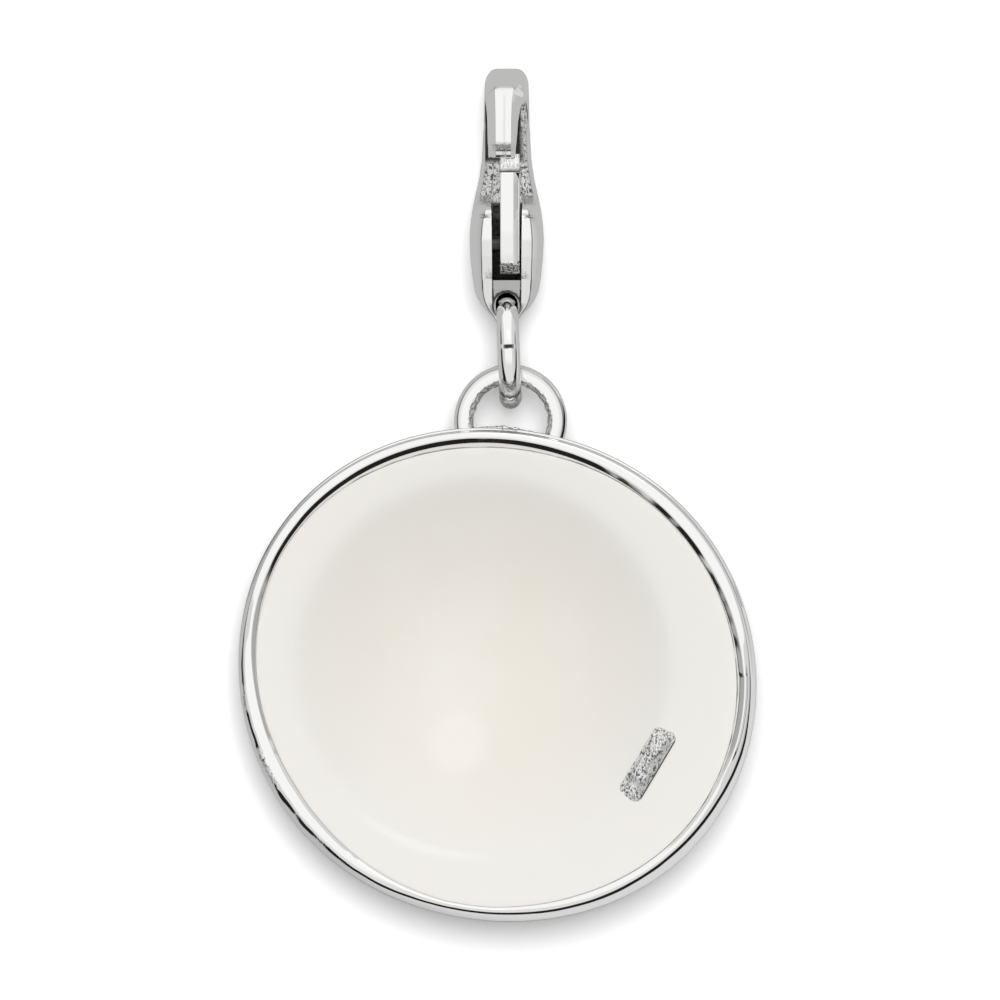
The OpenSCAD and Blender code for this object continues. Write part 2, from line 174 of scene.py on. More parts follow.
def rounded(corners: Array, cuts: Array, steps: int) -> Array:
    """Closed outlines with each corner rounded by a quadratic curve.

    The curve at a corner P leaves and meets the straight sides at the cut's distance
    from P, at A and B, and is (1 - t)^2 A + 2t(1 - t) P + t^2 B. A cut is limited to
    half of each side.

    Args:
        corners: the corners, shaped (outlines, corners, 2).
        cuts: the cut at each corner, shaped (corners,) or (outlines, corners).
        steps: points on each corner.

    Returns:
        The outlines, shaped (outlines, corners * steps, 2).
    """
    before = np.roll(corners, 1, axis=1) - corners
    after = np.roll(corners, -1, axis=1) - corners
    back = np.linalg.norm(before, axis=2) / 2
    on = np.linalg.norm(after, axis=2) / 2
    start = corners + unit(before) * np.minimum(cuts, back)[..., None]
    end = corners + unit(after) * np.minimum(cuts, on)[..., None]
    t = ((np.arange(steps) + 0.5) / steps)[None, None, :, None]
    curve = (1 - t) ** 2 * start[:, :, None] + 2 * t * (1 - t) * corners[:, :, None]
    curve = curve + t**2 * end[:, :, None]
    return curve.reshape(len(corners), -1, 2)


class Grain:
    """Smooth random field, from -1 to 1, with bumps of a set size."""

    def __init__(self, seed: int, size: float) -> None:
        """Fills the lattice.

        Args:
            seed: seed of the random numbers.
            size: distance between the lattice's points, in millimetres.
        """
        self.size = size
        self.lattice = np.random.default_rng(seed).uniform(-1, 1, (32, 32, 32))

    def at(self, points: Array) -> Array:
        """Field at the points: the eight lattice values round each, blended by smooth steps.

        Args:
            points: places in millimetres, shaped (..., 3).

        Returns:
            The field's values, shaped (...).
        """
        place = points / self.size + 7.3
        cell = np.floor(place).astype(int)
        t = place - cell
        t = t * t * (3 - 2 * t)
        total = np.zeros(points.shape[:-1])
        for corner in np.ndindex(2, 2, 2):
            weight = np.prod(np.where(corner, t, 1 - t), axis=-1)
            i, j, k = np.moveaxis((cell + corner) % 32, -1, 0)
            total += weight * self.lattice[i, j, k]
        return total


def bumpy(points: Array, *layers: Layer) -> Array:
    """Sum of random fields at the points.

    Args:
        points: places in millimetres, shaped (..., 3).
        layers: the fields' layers.

    Returns:
        Heights in millimetres, shaped (...).
    """
    return sum(height * Grain(seed, size).at(points) for seed, size, height in layers)


# Meshes


@dataclass
class Skin:
    """A mesh in the making: points in millimetres, faces, and shares of cast skin and of painted
    shade and dark reflections.
    """

    points: Array
    faces: list[Array]
    cast: Array | None = None
    # Share of painted shade and painted dark reflection lines at each point.
    painted_shade_and_reflection: Array | None = None


def loft(loops: Array, first: Array, last: Array) -> Skin:
    """Closed skin over a row of closed loops, with a fan to a point at each end.

    Point (i, j) is the j-th point of loop i. Faces join (i, j), (i + 1, j),
    (i + 1, j + 1) and (i, j + 1), where j wraps round.

    Args:
        loops: the loops, shaped (loops, points, 3).
        first: the point that closes the first loop.
        last: the point that closes the last loop.

    Returns:
        The skin, with its faces pointing outwards.
    """
    rows, columns = loops.shape[:2]
    index = np.arange(rows * columns).reshape(rows, columns)
    on = np.roll(index, -1, axis=1)
    quads = np.stack([index[:-1], index[1:], on[1:], on[:-1]], axis=-1).reshape(-1, 4)
    pole = np.full(columns, rows * columns)
    fans = [
        np.stack([pole, index[0], on[0]], axis=-1),
        np.stack([pole + 1, on[-1], index[-1]], axis=-1),
    ]
    points = np.concatenate([loops.reshape(-1, 3), first[None], last[None]])
    return outward(Skin(points, [quads, *fans]))


def capped(loops: Array) -> Skin:
    """Closed skin over a row of closed loops, with each end closed at its middle."""
    return loft(loops, loops[0].mean(axis=0), loops[-1].mean(axis=0))


def ring(loops: Array) -> Skin:
    """Closed skin over loops that follow each other round, as on a torus.

    Faces join (i, j), (i + 1, j), (i + 1, j + 1) and (i, j + 1), where both wrap round.

    Args:
        loops: the loops, shaped (loops, points, 3).

    Returns:
        The skin, with its faces pointing outwards.
    """
    rows, columns = loops.shape[:2]
    index = np.arange(rows * columns).reshape(rows, columns)
    below, on = np.roll(index, -1, axis=0), np.roll(index, -1, axis=1)
    quads = np.stack([index, below, np.roll(below, -1, axis=1), on], axis=-1)
    return outward(Skin(loops.reshape(-1, 3), [quads.reshape(-1, 4)]))


def outward(skin: Skin) -> Skin:
    """Turns all faces over if the volume that they enclose comes out negative.

    Six times the volume is the sum of a . (b x c) over the faces' triangles.

    Args:
        skin: the skin, whose faces all point the same way, out or in.

    Returns:
        The same skin, with its faces pointing outwards.
    """
    volume = 0.0
    for faces in skin.faces:
        a, b, c = (skin.points[faces[:, k]] for k in (0, 1, 2))
        volume += np.einsum("ij,ij->i", a, np.cross(b, c)).sum()
        if faces.shape[1] == 4:
            d = skin.points[faces[:, 3]]
            volume += np.einsum("ij,ij->i", a, np.cross(c, d)).sum()
    if volume < 0:
        skin.faces = [faces[:, ::-1] for faces in skin.faces]
    return skin


def make_object(name: str, skin: Skin) -> bpy.types.Object:
    """Puts a skin into the scene as a smooth mesh in metres, at the origin.

    Args:
        name: name of the object.
        skin: its points and faces.

    Returns:
        The new object.
    """
    mesh = bpy.data.meshes.new(name)
    faces = sum((group.tolist() for group in skin.faces), [])
    mesh.from_pydata((skin.points * MM).tolist(), [], faces)
    mesh.shade_smooth()
    piece = bpy.data.objects.new(name, mesh)
    bpy.context.scene.collection.objects.link(piece)
    # The second share paints shade and dark reflection lines into the colour.
    for layer, share in (("cast", skin.cast), ("painted_shade_and_reflection", skin.painted_shade_and_reflection)):
        if share is not None:
            set_share(piece, layer, share)
    return piece


def set_share(piece: bpy.types.Object, name: str, share: Array) -> None:
    """Stores a share from 0 to 1 at each point, for the silver's material."""
    layer = piece.data.attributes.new(name, "FLOAT", "POINT")
    layer.data.foreach_set("value", share.astype(np.float32))


def points_of(piece: bpy.types.Object) -> Array:
    """Places of a mesh's points.

    Args:
        piece: the piece.

    Returns:
        Places in millimetres, shaped (points, 3).
    """
    flat = np.zeros(len(piece.data.vertices) * 3)
    piece.data.vertices.foreach_get("co", flat)
    return flat.reshape(-1, 3) / MM


def carve(piece: bpy.types.Object, cutters: list[Skin], sharp: float) -> None:
    """Cuts skins out of a piece and marks the edges that stay sharp.

    Args:
        piece: the piece, whose mesh is replaced.
        cutters: what is cut out.
        sharp: angle in degrees from which an edge isn't shaded smooth.
    """
    for number, cutter in enumerate(cutters):
        tool = make_object(f"cutter_{number}", cutter)
        cut = piece.modifiers.new("cut", "BOOLEAN")
        cut.object, cut.operation, cut.solver = tool, "DIFFERENCE", "EXACT"
        graph = bpy.context.evaluated_depsgraph_get()
        result = bpy.data.meshes.new_from_object(piece.evaluated_get(graph))
        piece.modifiers.clear()
        piece.data = result
        bpy.data.objects.remove(tool)
    piece.data.shade_smooth()
    piece.data.set_sharp_from_angle(angle=math.radians(sharp))


# Materials


def linear(colour: str) -> Colour:
    """Linear colour of an sRGB hex value.

    Args:
        colour: the value, such as #F0EDE6.

    Returns:
        Red, green, blue and an alpha of one.
    """
    share = np.array([int(colour[k : k + 2], 16) for k in (1, 3, 5)]) / 255
    value = np.where(share <= 0.04045, share / 12.92, ((share + 0.055) / 1.055) ** 2.4)
    return (*value.tolist(), 1.0)


class Nodes:
    """Node tree in the making, of a material or of the world."""

    def __init__(self, owner: bpy.types.Material | bpy.types.World) -> None:
        """Empties the tree.

        Args:
            owner: the material or the world that the tree belongs to.
        """
        owner.use_nodes = True
        self.tree = owner.node_tree
        self.tree.nodes.clear()

    def add(self, kind: str, inputs: dict[str | int, object] | None = None) -> bpy.types.Node:
        """Adds a node.

        Args:
            kind: the node's type, without ShaderNode before it.
            inputs: its inputs by name or number, and its properties by name. A socket
                is linked, and any other value is set.

        Returns:
            The new node.
        """
        made = self.tree.nodes.new(f"ShaderNode{kind}")
        for name, value in (inputs or {}).items():
            if isinstance(value, Socket):
                self.tree.links.new(value, made.inputs[name])
            elif isinstance(name, int) or name in made.inputs:
                made.inputs[name].default_value = value
            else:
                setattr(made, name, value)
        return made

    def place(self) -> Socket:
        """Place in the object's own frame, in metres."""
        return self.add("TexCoord").outputs["Object"]

    def attribute(self, name: str) -> Socket:
        """Share that the mesh stores at each point."""
        settings = {"attribute_name": name, "attribute_type": "GEOMETRY"}
        return self.add("Attribute", settings).outputs["Fac"]

    def noise(self, place: Socket, size_mm: float, detail: float, roughness: float = 0.5,
              distortion: float = 0.0) -> Socket:
        """Noise with bumps of about a size in millimetres.

        Args:
            place: where it is read, in metres.
            size_mm: the size of the bumps.
            detail: how many finer layers lie on them.
            roughness: how strong those layers are.
            distortion: how far the bumps are bent out of shape.

        Returns:
            The socket with the noise.
        """
        return self.add("TexNoise", {
            "Vector": place, "Scale": 1 / (size_mm * MM), "Detail": detail,
            "Roughness": roughness, "Distortion": distortion,
        }).outputs["Fac"]

    def maths(self, operation: str, first: Socket, second: Socket) -> Socket:
        """Result of an operation such as MULTIPLY on two values."""
        return self.add("Math", {"operation": operation, 0: first, 1: second}).outputs[0]

    def dot(self, way: Socket, axis: Sequence[float]) -> Socket:
        """Dot product of a place or a direction with an axis."""
        inputs = {"operation": "DOT_PRODUCT", 0: way, 1: axis}
        return self.add("VectorMath", inputs).outputs["Value"]

    def ranged(self, value: Socket, given: Sequence[float], wanted: Sequence[float] = (0.0, 1.0),
               kind: str = "LINEAR") -> Socket:
        """Value carried over from one range to another, and held at its ends.

        Args:
            value: the value.
            given: start and end of the range that it comes from.
            wanted: what it is at that start and at that end.
            kind: how it goes from one to the other.

        Returns:
            The socket with the new value.
        """
        return self.add("MapRange", {
            "interpolation_type": kind, "Value": value, "From Min": given[0],
            "From Max": given[1], "To Min": wanted[0], "To Max": wanted[1],
        }).outputs["Result"]

    def mix(self, share: Socket, first: float | Socket, second: float | Socket) -> Socket:
        """Blend of two values, each given as it is or as a socket."""
        inputs = {"data_type": "FLOAT", 0: share, 2: first, 3: second}
        return self.add("Mix", inputs).outputs[0]

    def mix_colours(self, share: Socket, first: Colour | Socket, second: Colour | Socket) -> Socket:
        """Blend of two colours, each given as it is or as a socket."""
        inputs = {"data_type": "RGBA", 0: share, 6: first, 7: second}
        return self.add("Mix", inputs).outputs[2]

    def bump(self, height: Socket, depth_mm: float, normal: Socket | None = None) -> Socket:
        """Normal of the surface when a height raises it by up to a depth in millimetres.

        Args:
            height: the height, from 0 to 1.
            depth_mm: the depth.
            normal: the normal of a bump below this one, if there is one.

        Returns:
            The socket with the normal.
        """
        inputs = {"Strength": 1.0, "Distance": depth_mm * MM, "Height": height}
        if normal is not None:
            inputs["Normal"] = normal
        return self.add("Bump", inputs).outputs["Normal"]

    def surface(self, kind: str, inputs: dict[str | int, object]) -> None:
        """Makes a shader of a kind the material's surface."""
        shader = self.add(kind, inputs)
        self.add("OutputMaterial", {"Surface": shader.outputs[0]})


@dataclass(frozen=True)
class RhodiumSilver:
    """Rhodium-plated sterling silver, lost-wax cast, tumbled and buffed.

    Buffing leaves a mirror with a faint waviness and hairlines. Where the wheel can't
    reach, the plating lies on the grainy skin of the casting: it glitters, and its pits
    are darkened with painted shade.
    """

    name: str = "rhodium_silver_buffed"
    colour: str = "#F1F1F0"
    roughness: float = 0.05
    cast_roughness: float = 0.15
    # Colour of the painted shade and the painted dark reflection lines.
    shade_and_reflection_colour: str = "#2E2D2B"
    ripple_mm: float = 0.55
    ripple_depth_mm: float = 0.0012
    # Hairlines of 0.05 mm are too fine to show, so they are drawn four times as coarse.
    hairline_mm: float = 0.20
    hairline_levels: tuple[float, float] = (0.35, 0.75)
    hairline_polish: tuple[float, float] = (0.7, 1.5)
    # The grain is as coarse as the investment's sand, and drawn out along the casting.
    grain_mm: float = 0.09
    grain_stretch: tuple[float, float, float] = (1.0, 0.6, 1.0)
    grain_depth_mm: float = 0.10
    # Painted shade in the cast skin's pits: the grain levels at which it starts and is full, and
    # its strength.
    pit_levels: tuple[float, float] = (0.49, 0.40)
    pit_shade_share: float = 0.9

    def material(self) -> bpy.types.Material:
        """Makes the material.

        The piece's cast attribute turns the mirror into cast skin, and its second
        attribute darkens it with painted shade and painted dark reflection lines.

        Returns:
            The material.
        """
        material = bpy.data.materials.new(self.name)
        nodes = Nodes(material)
        place, cast = nodes.place(), nodes.attribute("cast")
        ripple = nodes.noise(place, self.ripple_mm, detail=1.0)
        hairlines = nodes.noise(place, self.hairline_mm, detail=3.0, distortion=0.8)
        stretch = {"operation": "MULTIPLY", 0: place, 1: self.grain_stretch}
        drawn_out = nodes.add("VectorMath", stretch).outputs["Vector"]
        grain = nodes.noise(drawn_out, self.grain_mm, detail=3.0, roughness=0.65)
        waves = nodes.bump(ripple, self.ripple_depth_mm)
        normal = nodes.bump(nodes.maths("MULTIPLY", grain, cast), self.grain_depth_mm, waves)
        buffed = [self.roughness * share for share in self.hairline_polish]
        roughness = nodes.mix(
            cast, nodes.ranged(hairlines, self.hairline_levels, buffed), self.cast_roughness
        )
        # Painted shade: the cast skin's pits and the places that the piece marks are darkened.
        pits = nodes.ranged(grain, self.pit_levels, (0.0, self.pit_shade_share))
        pit_shade = nodes.maths("MULTIPLY", pits, cast)
        painted_shade_and_reflection = nodes.maths("MAXIMUM", nodes.attribute("painted_shade_and_reflection"), pit_shade)
        colour = nodes.mix_colours(painted_shade_and_reflection, linear(self.colour), linear(self.shade_and_reflection_colour))
        nodes.surface("BsdfPrincipled", {
            "Metallic": 1.0, "Base Color": colour, "Roughness": roughness, "Normal": normal
        })
        return material


@dataclass(frozen=True)
class WhiteEnamel:
    """Warm white opaque enamel, fired or poured and left glossy.

    Its skin is glassy with a slight waviness. Its colour is even apart from faint
    cloudy patches, and a little warmer low in the bowl, where the layer is thinner.
    """

    name: str = "white_enamel_glossy"
    colour: str = "#E3E1DD"
    thin_colour: str = "#E0DACE"
    roughness: float = 0.13
    ior: float = 1.5
    cloud_mm: float = 3.5
    # Heights over the table between which the enamel gets thinner, and how thin it looks.
    bowl_mm: tuple[float, float] = (3.2, 1.4)
    thin_share: tuple[float, float] = (0.25, 1.25)
    wave_mm: float = 1.6
    wave_depth_mm: float = 0.002

    def material(self) -> bpy.types.Material:
        """Makes the material.

        Returns:
            The material.
        """
        material = bpy.data.materials.new(self.name)
        nodes = Nodes(material)
        place = nodes.place()
        cloud = nodes.noise(place, self.cloud_mm, detail=3.0, roughness=0.55)
        height = nodes.add("SeparateXYZ", {0: place}).outputs["Z"]
        low = nodes.ranged(height, [level * MM for level in self.bowl_mm], self.thin_share)
        thin = nodes.maths("MULTIPLY", low, cloud)
        colour = nodes.mix_colours(thin, linear(self.colour), linear(self.thin_colour))
        normal = nodes.bump(nodes.noise(place, self.wave_mm, detail=1.5), self.wave_depth_mm)
        nodes.surface("BsdfPrincipled", {
            "Roughness": self.roughness, "IOR": self.ior, "Base Color": colour, "Normal": normal
        })
        return material


@dataclass(frozen=True)
class FiledRivet:
    """Silver wire riveted and filed flush, with fine file marks and no polish.

    Between the cheeks it is darkened with painted shade.
    """

    name: str = "silver_rivet_filed"
    colour: str = "#D9D9D8"
    # Colour of the painted shade between the cheeks.
    bore_shade_colour: str = "#2E2D2B"
    roughness: float = 0.24
    mark_mm: float = 0.04
    mark_depth_mm: float = 0.002

    def material(self) -> bpy.types.Material:
        """Makes the material, with painted shade where the piece's stored share says so.

        Returns:
            The material.
        """
        material = bpy.data.materials.new(self.name)
        nodes = Nodes(material)
        marks = nodes.noise(nodes.place(), self.mark_mm, detail=2.0)
        bore_shade = nodes.attribute("painted_shade_and_reflection")
        colour = nodes.mix_colours(bore_shade, linear(self.colour), linear(self.bore_shade_colour))
        nodes.surface("BsdfPrincipled", {
            "Metallic": 1.0, "Roughness": self.roughness, "Base Color": colour,
            "Normal": nodes.bump(marks, self.mark_depth_mm),
        })
        return material


@dataclass(frozen=True)
class WhiteTable:
    """Matte white acrylic sheet under the charm.

    The picture is exposed so that it shows past white, and only the contact shadow is
    left of it, while polished metal mirrors its real, greyer tone. On the lamp's side
    that mirrored tone is lifted towards the lower right by painted light.
    """

    name: str = "white_acrylic_matte"
    colour: str = "#FFFFFF"
    mirrored_colour: str = "#BDBDBD"
    # Painted light: the mirrored tone lightens to this colour towards the lower right.
    painted_light_colour: str = "#DCDCDC"
    # Direction in degrees in which the painted light lifts the mirrored tone, and the distances
    # between which it does.
    lift_turn: float = 320.0
    lift_mm: tuple[float, float] = (5.0, 18.0)
    past_white: float = 1.18

    def material(self) -> bpy.types.Material:
        """Makes the material.

        Returns:
            The material.
        """
        material = bpy.data.materials.new(self.name)
        nodes = Nodes(material)
        ray = nodes.add("LightPath").outputs
        along = nodes.dot(nodes.place(), toward(self.lift_turn, 90))
        lift = nodes.ranged(along, [distance * MM for distance in self.lift_mm])
        # Painted light on the tone that the metal mirrors.
        mirrored = nodes.mix_colours(
            lift, linear(self.mirrored_colour), linear(self.painted_light_colour)
        )
        real = nodes.mix_colours(ray["Is Glossy Ray"], linear(self.colour), mirrored)
        bright = (self.past_white, self.past_white, self.past_white, 1.0)
        colour = nodes.mix_colours(ray["Is Camera Ray"], real, bright)
        nodes.surface("BsdfDiffuse", {"Color": colour})
        return material


# The dish and what is soldered to it


@dataclass
class DishForm:
    """Shape that the silver dish and its enamel share, and how the dish lies."""

    disc_d: float = 20.6
    disc_oval: float = 0.34
    disc_oval_turn: float = 159.0
    disc_corner: float = 0.05
    silver_wall: float = 0.8
    rest_tilt: float = 3.0
    rest_tilt_turn: float = -45.0
    bowl_d: float = 15.2
    bowl_depth: float = 2.3
    bowl_x: float = -0.6
    bowl_y: float = 0.36
    bowl_ease: float = 0.14
    brim_rise: float = 0.35
    rim_w: float = 0.81
    seat_drop: float = 0.31
    enamel_gap: float = 0.03
    # Direction in degrees from +X, share of the rim's width.
    rim_evenness: Array = field(
        default_factory=lambda: table(
            (0, 1.00), (120, 1.04), (150, 0.78), (180, 0.96), (210, 1.24),
            (235, 0.92), (255, 0.66), (270, 0.68), (290, 0.94), (360, 1.00),
        )
    )

    def __post_init__(self) -> None:
        """Finds where the dish lies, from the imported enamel's box."""
        turn = np.arange(64) * 360 / 64
        low, high = (np.array(corner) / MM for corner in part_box("enamel"))
        self.shift = np.zeros(3)
        edge = self.laid(self.spot(turn, 1.0, 1.0, self.enamel_gap, 0.0))
        self.shift = np.array([*(low - edge.min(axis=0))[:2], high[2] - edge[:, 2].max()])

    def outline(self, turn: Array) -> Array:
        """Radius of the outline: a circle with a share of two and of four swellings.

        Args:
            turn: directions in degrees.

        Returns:
            Radii in millimetres, shaped as turn.
        """
        two = np.cos(np.radians(2 * (turn - self.disc_oval_turn)))
        four = np.cos(np.radians(4 * (turn - 135)))
        return self.disc_d / 2 + self.disc_oval * two + self.disc_corner * four

    def rim(self, turn: Array) -> Array:
        """Width of the hand-filed rim, eased between its table's rows."""
        return self.rim_w * eased(self.rim_evenness, 1, turn % 360, 12)

    def face(self, x: Array, y: Array) -> Array:
        """Height of the enamel's face: a paraboloid easing into a rising brim.

        With u the distance from the hollow's middle over its radius, the dip is
        depth (1 - u^2). The eased dip is (dip + sqrt(dip^2 + 4 ease^2)) / 2.

        Args:
            x: places across in the dish's own frame.
            y: places along.

        Returns:
            Heights over the dish's foot in millimetres.
        """
        across = np.hypot(x - self.bowl_x, y - self.bowl_y) / (self.bowl_d / 2)
        dip = self.bowl_depth * (1 - across**2)
        soft = (dip + np.sqrt(dip**2 + 4 * self.bowl_ease**2)) / 2
        out = np.hypot(x, y) / (self.disc_d / 2)
        return self.silver_wall + self.seat_drop + self.bowl_depth - soft + self.brim_rise * out**2

    def spot(self, turn: Array, share: Array, rims: float, gap: Array, drop: Array) -> Array:
        """Points at a share of the way to a line inside the outline, below the face.

        Args:
            turn: directions in degrees.
            share: shares of the way from the middle.
            rims: how many rim widths the line lies inside the outline.
            gap: a further gap inside that.
            drop: depth below the enamel's face.

        Returns:
            Points in the dish's own frame, shaped as the arguments together.
        """
        reach = share * (self.outline(turn) - rims * self.rim(turn) - gap)
        x, y = polar(reach, np.radians(turn))
        return stacked(x, y, self.face(x, y) - drop)

    def laid(self, points: Array) -> Array:
        """Points of the dish's own frame as it lies: turned about its tilt axis and moved.

        A point p goes to its part along the axis a, plus its part across a times the
        angle's cosine, plus a x p times its sine, plus the shift.

        Args:
            points: places in the dish's own frame, shaped (..., 3).

        Returns:
            Places in the shared frame, in millimetres.
        """
        turn = math.radians(self.rest_tilt_turn - 90)
        axis = np.array([math.cos(turn), math.sin(turn), 0.0])
        angle = math.radians(self.rest_tilt)
        along = (points @ axis)[..., None] * axis
        across = (points - along) * math.cos(angle) + np.cross(axis, points) * math.sin(angle)
        return along + across + self.shift


@dataclass
class Dish:
    """Shell of the silver dish, with its polished, hand-filed rim."""

    form: DishForm
    columns: int = 576
    # Rim section from the underside to the crest, where the dish's wall stands out below
    # the soldered wire. Columns: inset in rim widths, height over the enamel's edge in mm.
    stepped_rows: Array = field(
        default_factory=lambda: table(
            (0.50, -1.110), (0.34, -1.110), (0.18, -1.105), (0.07, -1.060), (0.01, -0.960),
            (0.00, -0.820), (0.00, -0.600), (0.00, -0.400), (0.005, -0.290), (0.02, -0.232),
            (0.06, -0.203), (0.10, -0.184), (0.14, -0.166), (0.165, -0.120), (0.18, -0.020),
            (0.20, 0.130), (0.23, 0.240), (0.28, 0.284), (0.35, 0.298),
        )
    )
    # The same section where the outer edge is filed round: inset from the middle of the
    # filed slope in rim widths, and height.
    filed_rows: Array = field(
        default_factory=lambda: table(
            (0.50, -1.110), (0.34, -1.110), (0.18, -1.105), (0.07, -1.060), (0.01, -0.960),
            (0.00, -0.900), (-0.70, -0.860), (-0.66, -0.760), (-0.60, -0.660), (-0.52, -0.530),
            (-0.44, -0.410), (-0.36, -0.305), (-0.28, -0.205), (-0.20, -0.115), (-0.12, -0.035),
            (-0.04, 0.032), (0.04, 0.086), (0.12, 0.126), (0.20, 0.155),
        )
    )
    # The crest's inner shoulder: distance from its turn in rim widths, and drop from the
    # crest in mm. The flank runs on from it to the enamel.
    shoulder_rows: Array = field(
        default_factory=lambda: table(
            (-0.26, 0.000), (-0.20, 0.004), (-0.155, 0.020), (-0.12, 0.044), (-0.06, 0.086),
            (0.00, 0.128), (0.06, 0.170), (0.10, 0.198),
        )
    )
    # Flank: share of the way from the shoulder to the enamel, and share of the drop.
    flank_rows: Array = field(
        default_factory=lambda: table((0.25, 0.26), (0.5, 0.52), (0.75, 0.78), (1.0, 1.0))
    )
    # Round the rim: direction, how far the outer edge is filed round, inset of the
    # middle of that slope in rim widths, inset of the shoulder's turn in rim widths, and
    # height of the crest over the enamel in mm.
    filing: Array = field(
        default_factory=lambda: table(
            (0, 0.7, 0.28, 0.77, 0.26), (14, 0.1, 0.25, 0.84, 0.24),
            (30, 0.0, 0.25, 0.90, 0.22), (45, 0.0, 0.25, 0.88, 0.24),
            (60, 0.0, 0.25, 0.81, 0.29), (75, 0.0, 0.25, 0.75, 0.35),
            (90, 0.0, 0.25, 0.68, 0.40), (105, 0.0, 0.25, 0.70, 0.41),
            (120, 0.0, 0.25, 0.74, 0.40), (135, 0.0, 0.25, 0.81, 0.36),
            (150, 0.0, 0.25, 0.87, 0.32), (160, 0.2, 0.25, 0.86, 0.28),
            (172, 0.9, 0.25, 0.88, 0.19), (185, 1.0, 0.25, 0.92, 0.175),
            (200, 1.0, 0.29, 0.93, 0.17), (225, 1.0, 0.37, 0.93, 0.185),
            (240, 1.0, 0.39, 0.92, 0.195), (255, 1.0, 0.58, 0.91, 0.21),
            (272, 1.0, 0.58, 0.91, 0.20), (290, 1.0, 0.48, 0.90, 0.20),
            (312, 1.0, 0.54, 0.90, 0.20), (330, 1.0, 0.48, 0.88, 0.21),
            (342, 1.0, 0.30, 0.80, 0.23), (360, 0.7, 0.28, 0.74, 0.26),
        )
    )
    # Where the buff has flattened the shoulder: direction, reach in degrees, and amount.
    flattened: Array = field(
        default_factory=lambda: table((15, 40, 0.16), (57, 15, 0.095), (128, 4, 0.03))
    )
    # Half of the shoulder's width and drop are left between these directions.
    flat_turns: tuple[float, float] = (176.0, 340.0)
    joint_drop: float = 0.09

    def shell(self) -> Skin:
        """Shell of the dish: a grid of directions by a profile from below round the rim.

        The underside is the enamel's face let down by the walls, the rim's profile is
        a B-spline of its rows, and the seat runs back to the middle under the enamel.

        Returns:
            The skin, with its shares of cast skin and of painted shade and dark reflection lines.
        """
        form = self.form
        turn = (np.arange(self.columns) * 360 / self.columns)[None, :]
        wall = form.seat_drop + form.silver_wall
        under = np.array([0.03, 0.08, 0.14, 0.2, *np.linspace(0.26, 0.98, 22)])[:, None]
        seat = np.linspace(0.97, 0.05, 14)[:, None]
        lower = form.spot(turn, under, 0.5, 0.0, wall)
        upper = form.spot(turn, seat, 1.0, 0.0, form.seat_drop)
        inset, height = self.profile(turn[0])
        reach = form.outline(turn) - inset * form.rim(turn)
        edge = form.spot(turn, 1.0, 1.0, 0.0, 0.0)[..., 2]
        rim = self.filed(stacked(*polar(reach, np.radians(turn)), edge + height))
        loops = form.laid(np.concatenate([lower, rim, upper]))
        middle = np.array([0.0, 0.0, form.face(0.0, 0.0)])
        ends = form.laid(np.stack([middle - [0, 0, wall], middle - [0, 0, form.seat_drop]]))
        skin = loft(loops, ends[0], ends[1])
        skin.points[:, 2] = np.maximum(skin.points[:, 2], 0.0)
        before, after = (np.zeros((len(part), self.columns)) for part in (lower, upper))
        skin.cast, skin.painted_shade_and_reflection = (
            np.append(np.concatenate([before, share, after]).reshape(-1), [0.0, 0.0])
            for share in self.cast_and_painted_shade(turn, inset, height)
        )
        return skin

    def cast_and_painted_shade(self, turn: Array, inset: Array, height: Array) -> tuple[Array, Array]:
        """Where the rim is rough, and where painted shade and dark reflection lines darken it.

        It is rough in patches along the filed slope at the lower left. Painted shade
        darkens the corner of the step below the wire, and a painted dark reflection line
        runs along the outermost edge.

        Args:
            turn: directions in degrees, shaped (1, directions).
            inset: insets in rim widths.
            height: heights over the enamel's edge in mm.

        Returns:
            Shares of cast skin and of painted shade, shaped as inset.
        """
        amount, middle = (eased(self.filing, k, turn, 5) for k in (1, 2))
        place = stacked(10 * np.radians(turn), inset, 0.0)
        patch = smooth(-0.15, 0.35, Grain(5, 0.7).at(place))
        rough = bell(turn, 200, 17) * bell(inset, middle, 0.11) * patch
        # Painted shade in the step's corner, and a painted dark reflection line along the outermost
        # edge.
        step = (1 - amount) * bell(inset, 0.168, 0.02) * (0.35 + 0.6 * bell(turn, 20, 16))
        ledge = bell(turn, 148, 24)
        edge = (0.6 + 0.15 * ledge) * bell(inset, 0.05 * ledge, 0.025 + 0.035 * ledge)
        seen = smooth(-0.60, -0.50, height)
        return rough * seen, np.maximum(step, edge) * seen

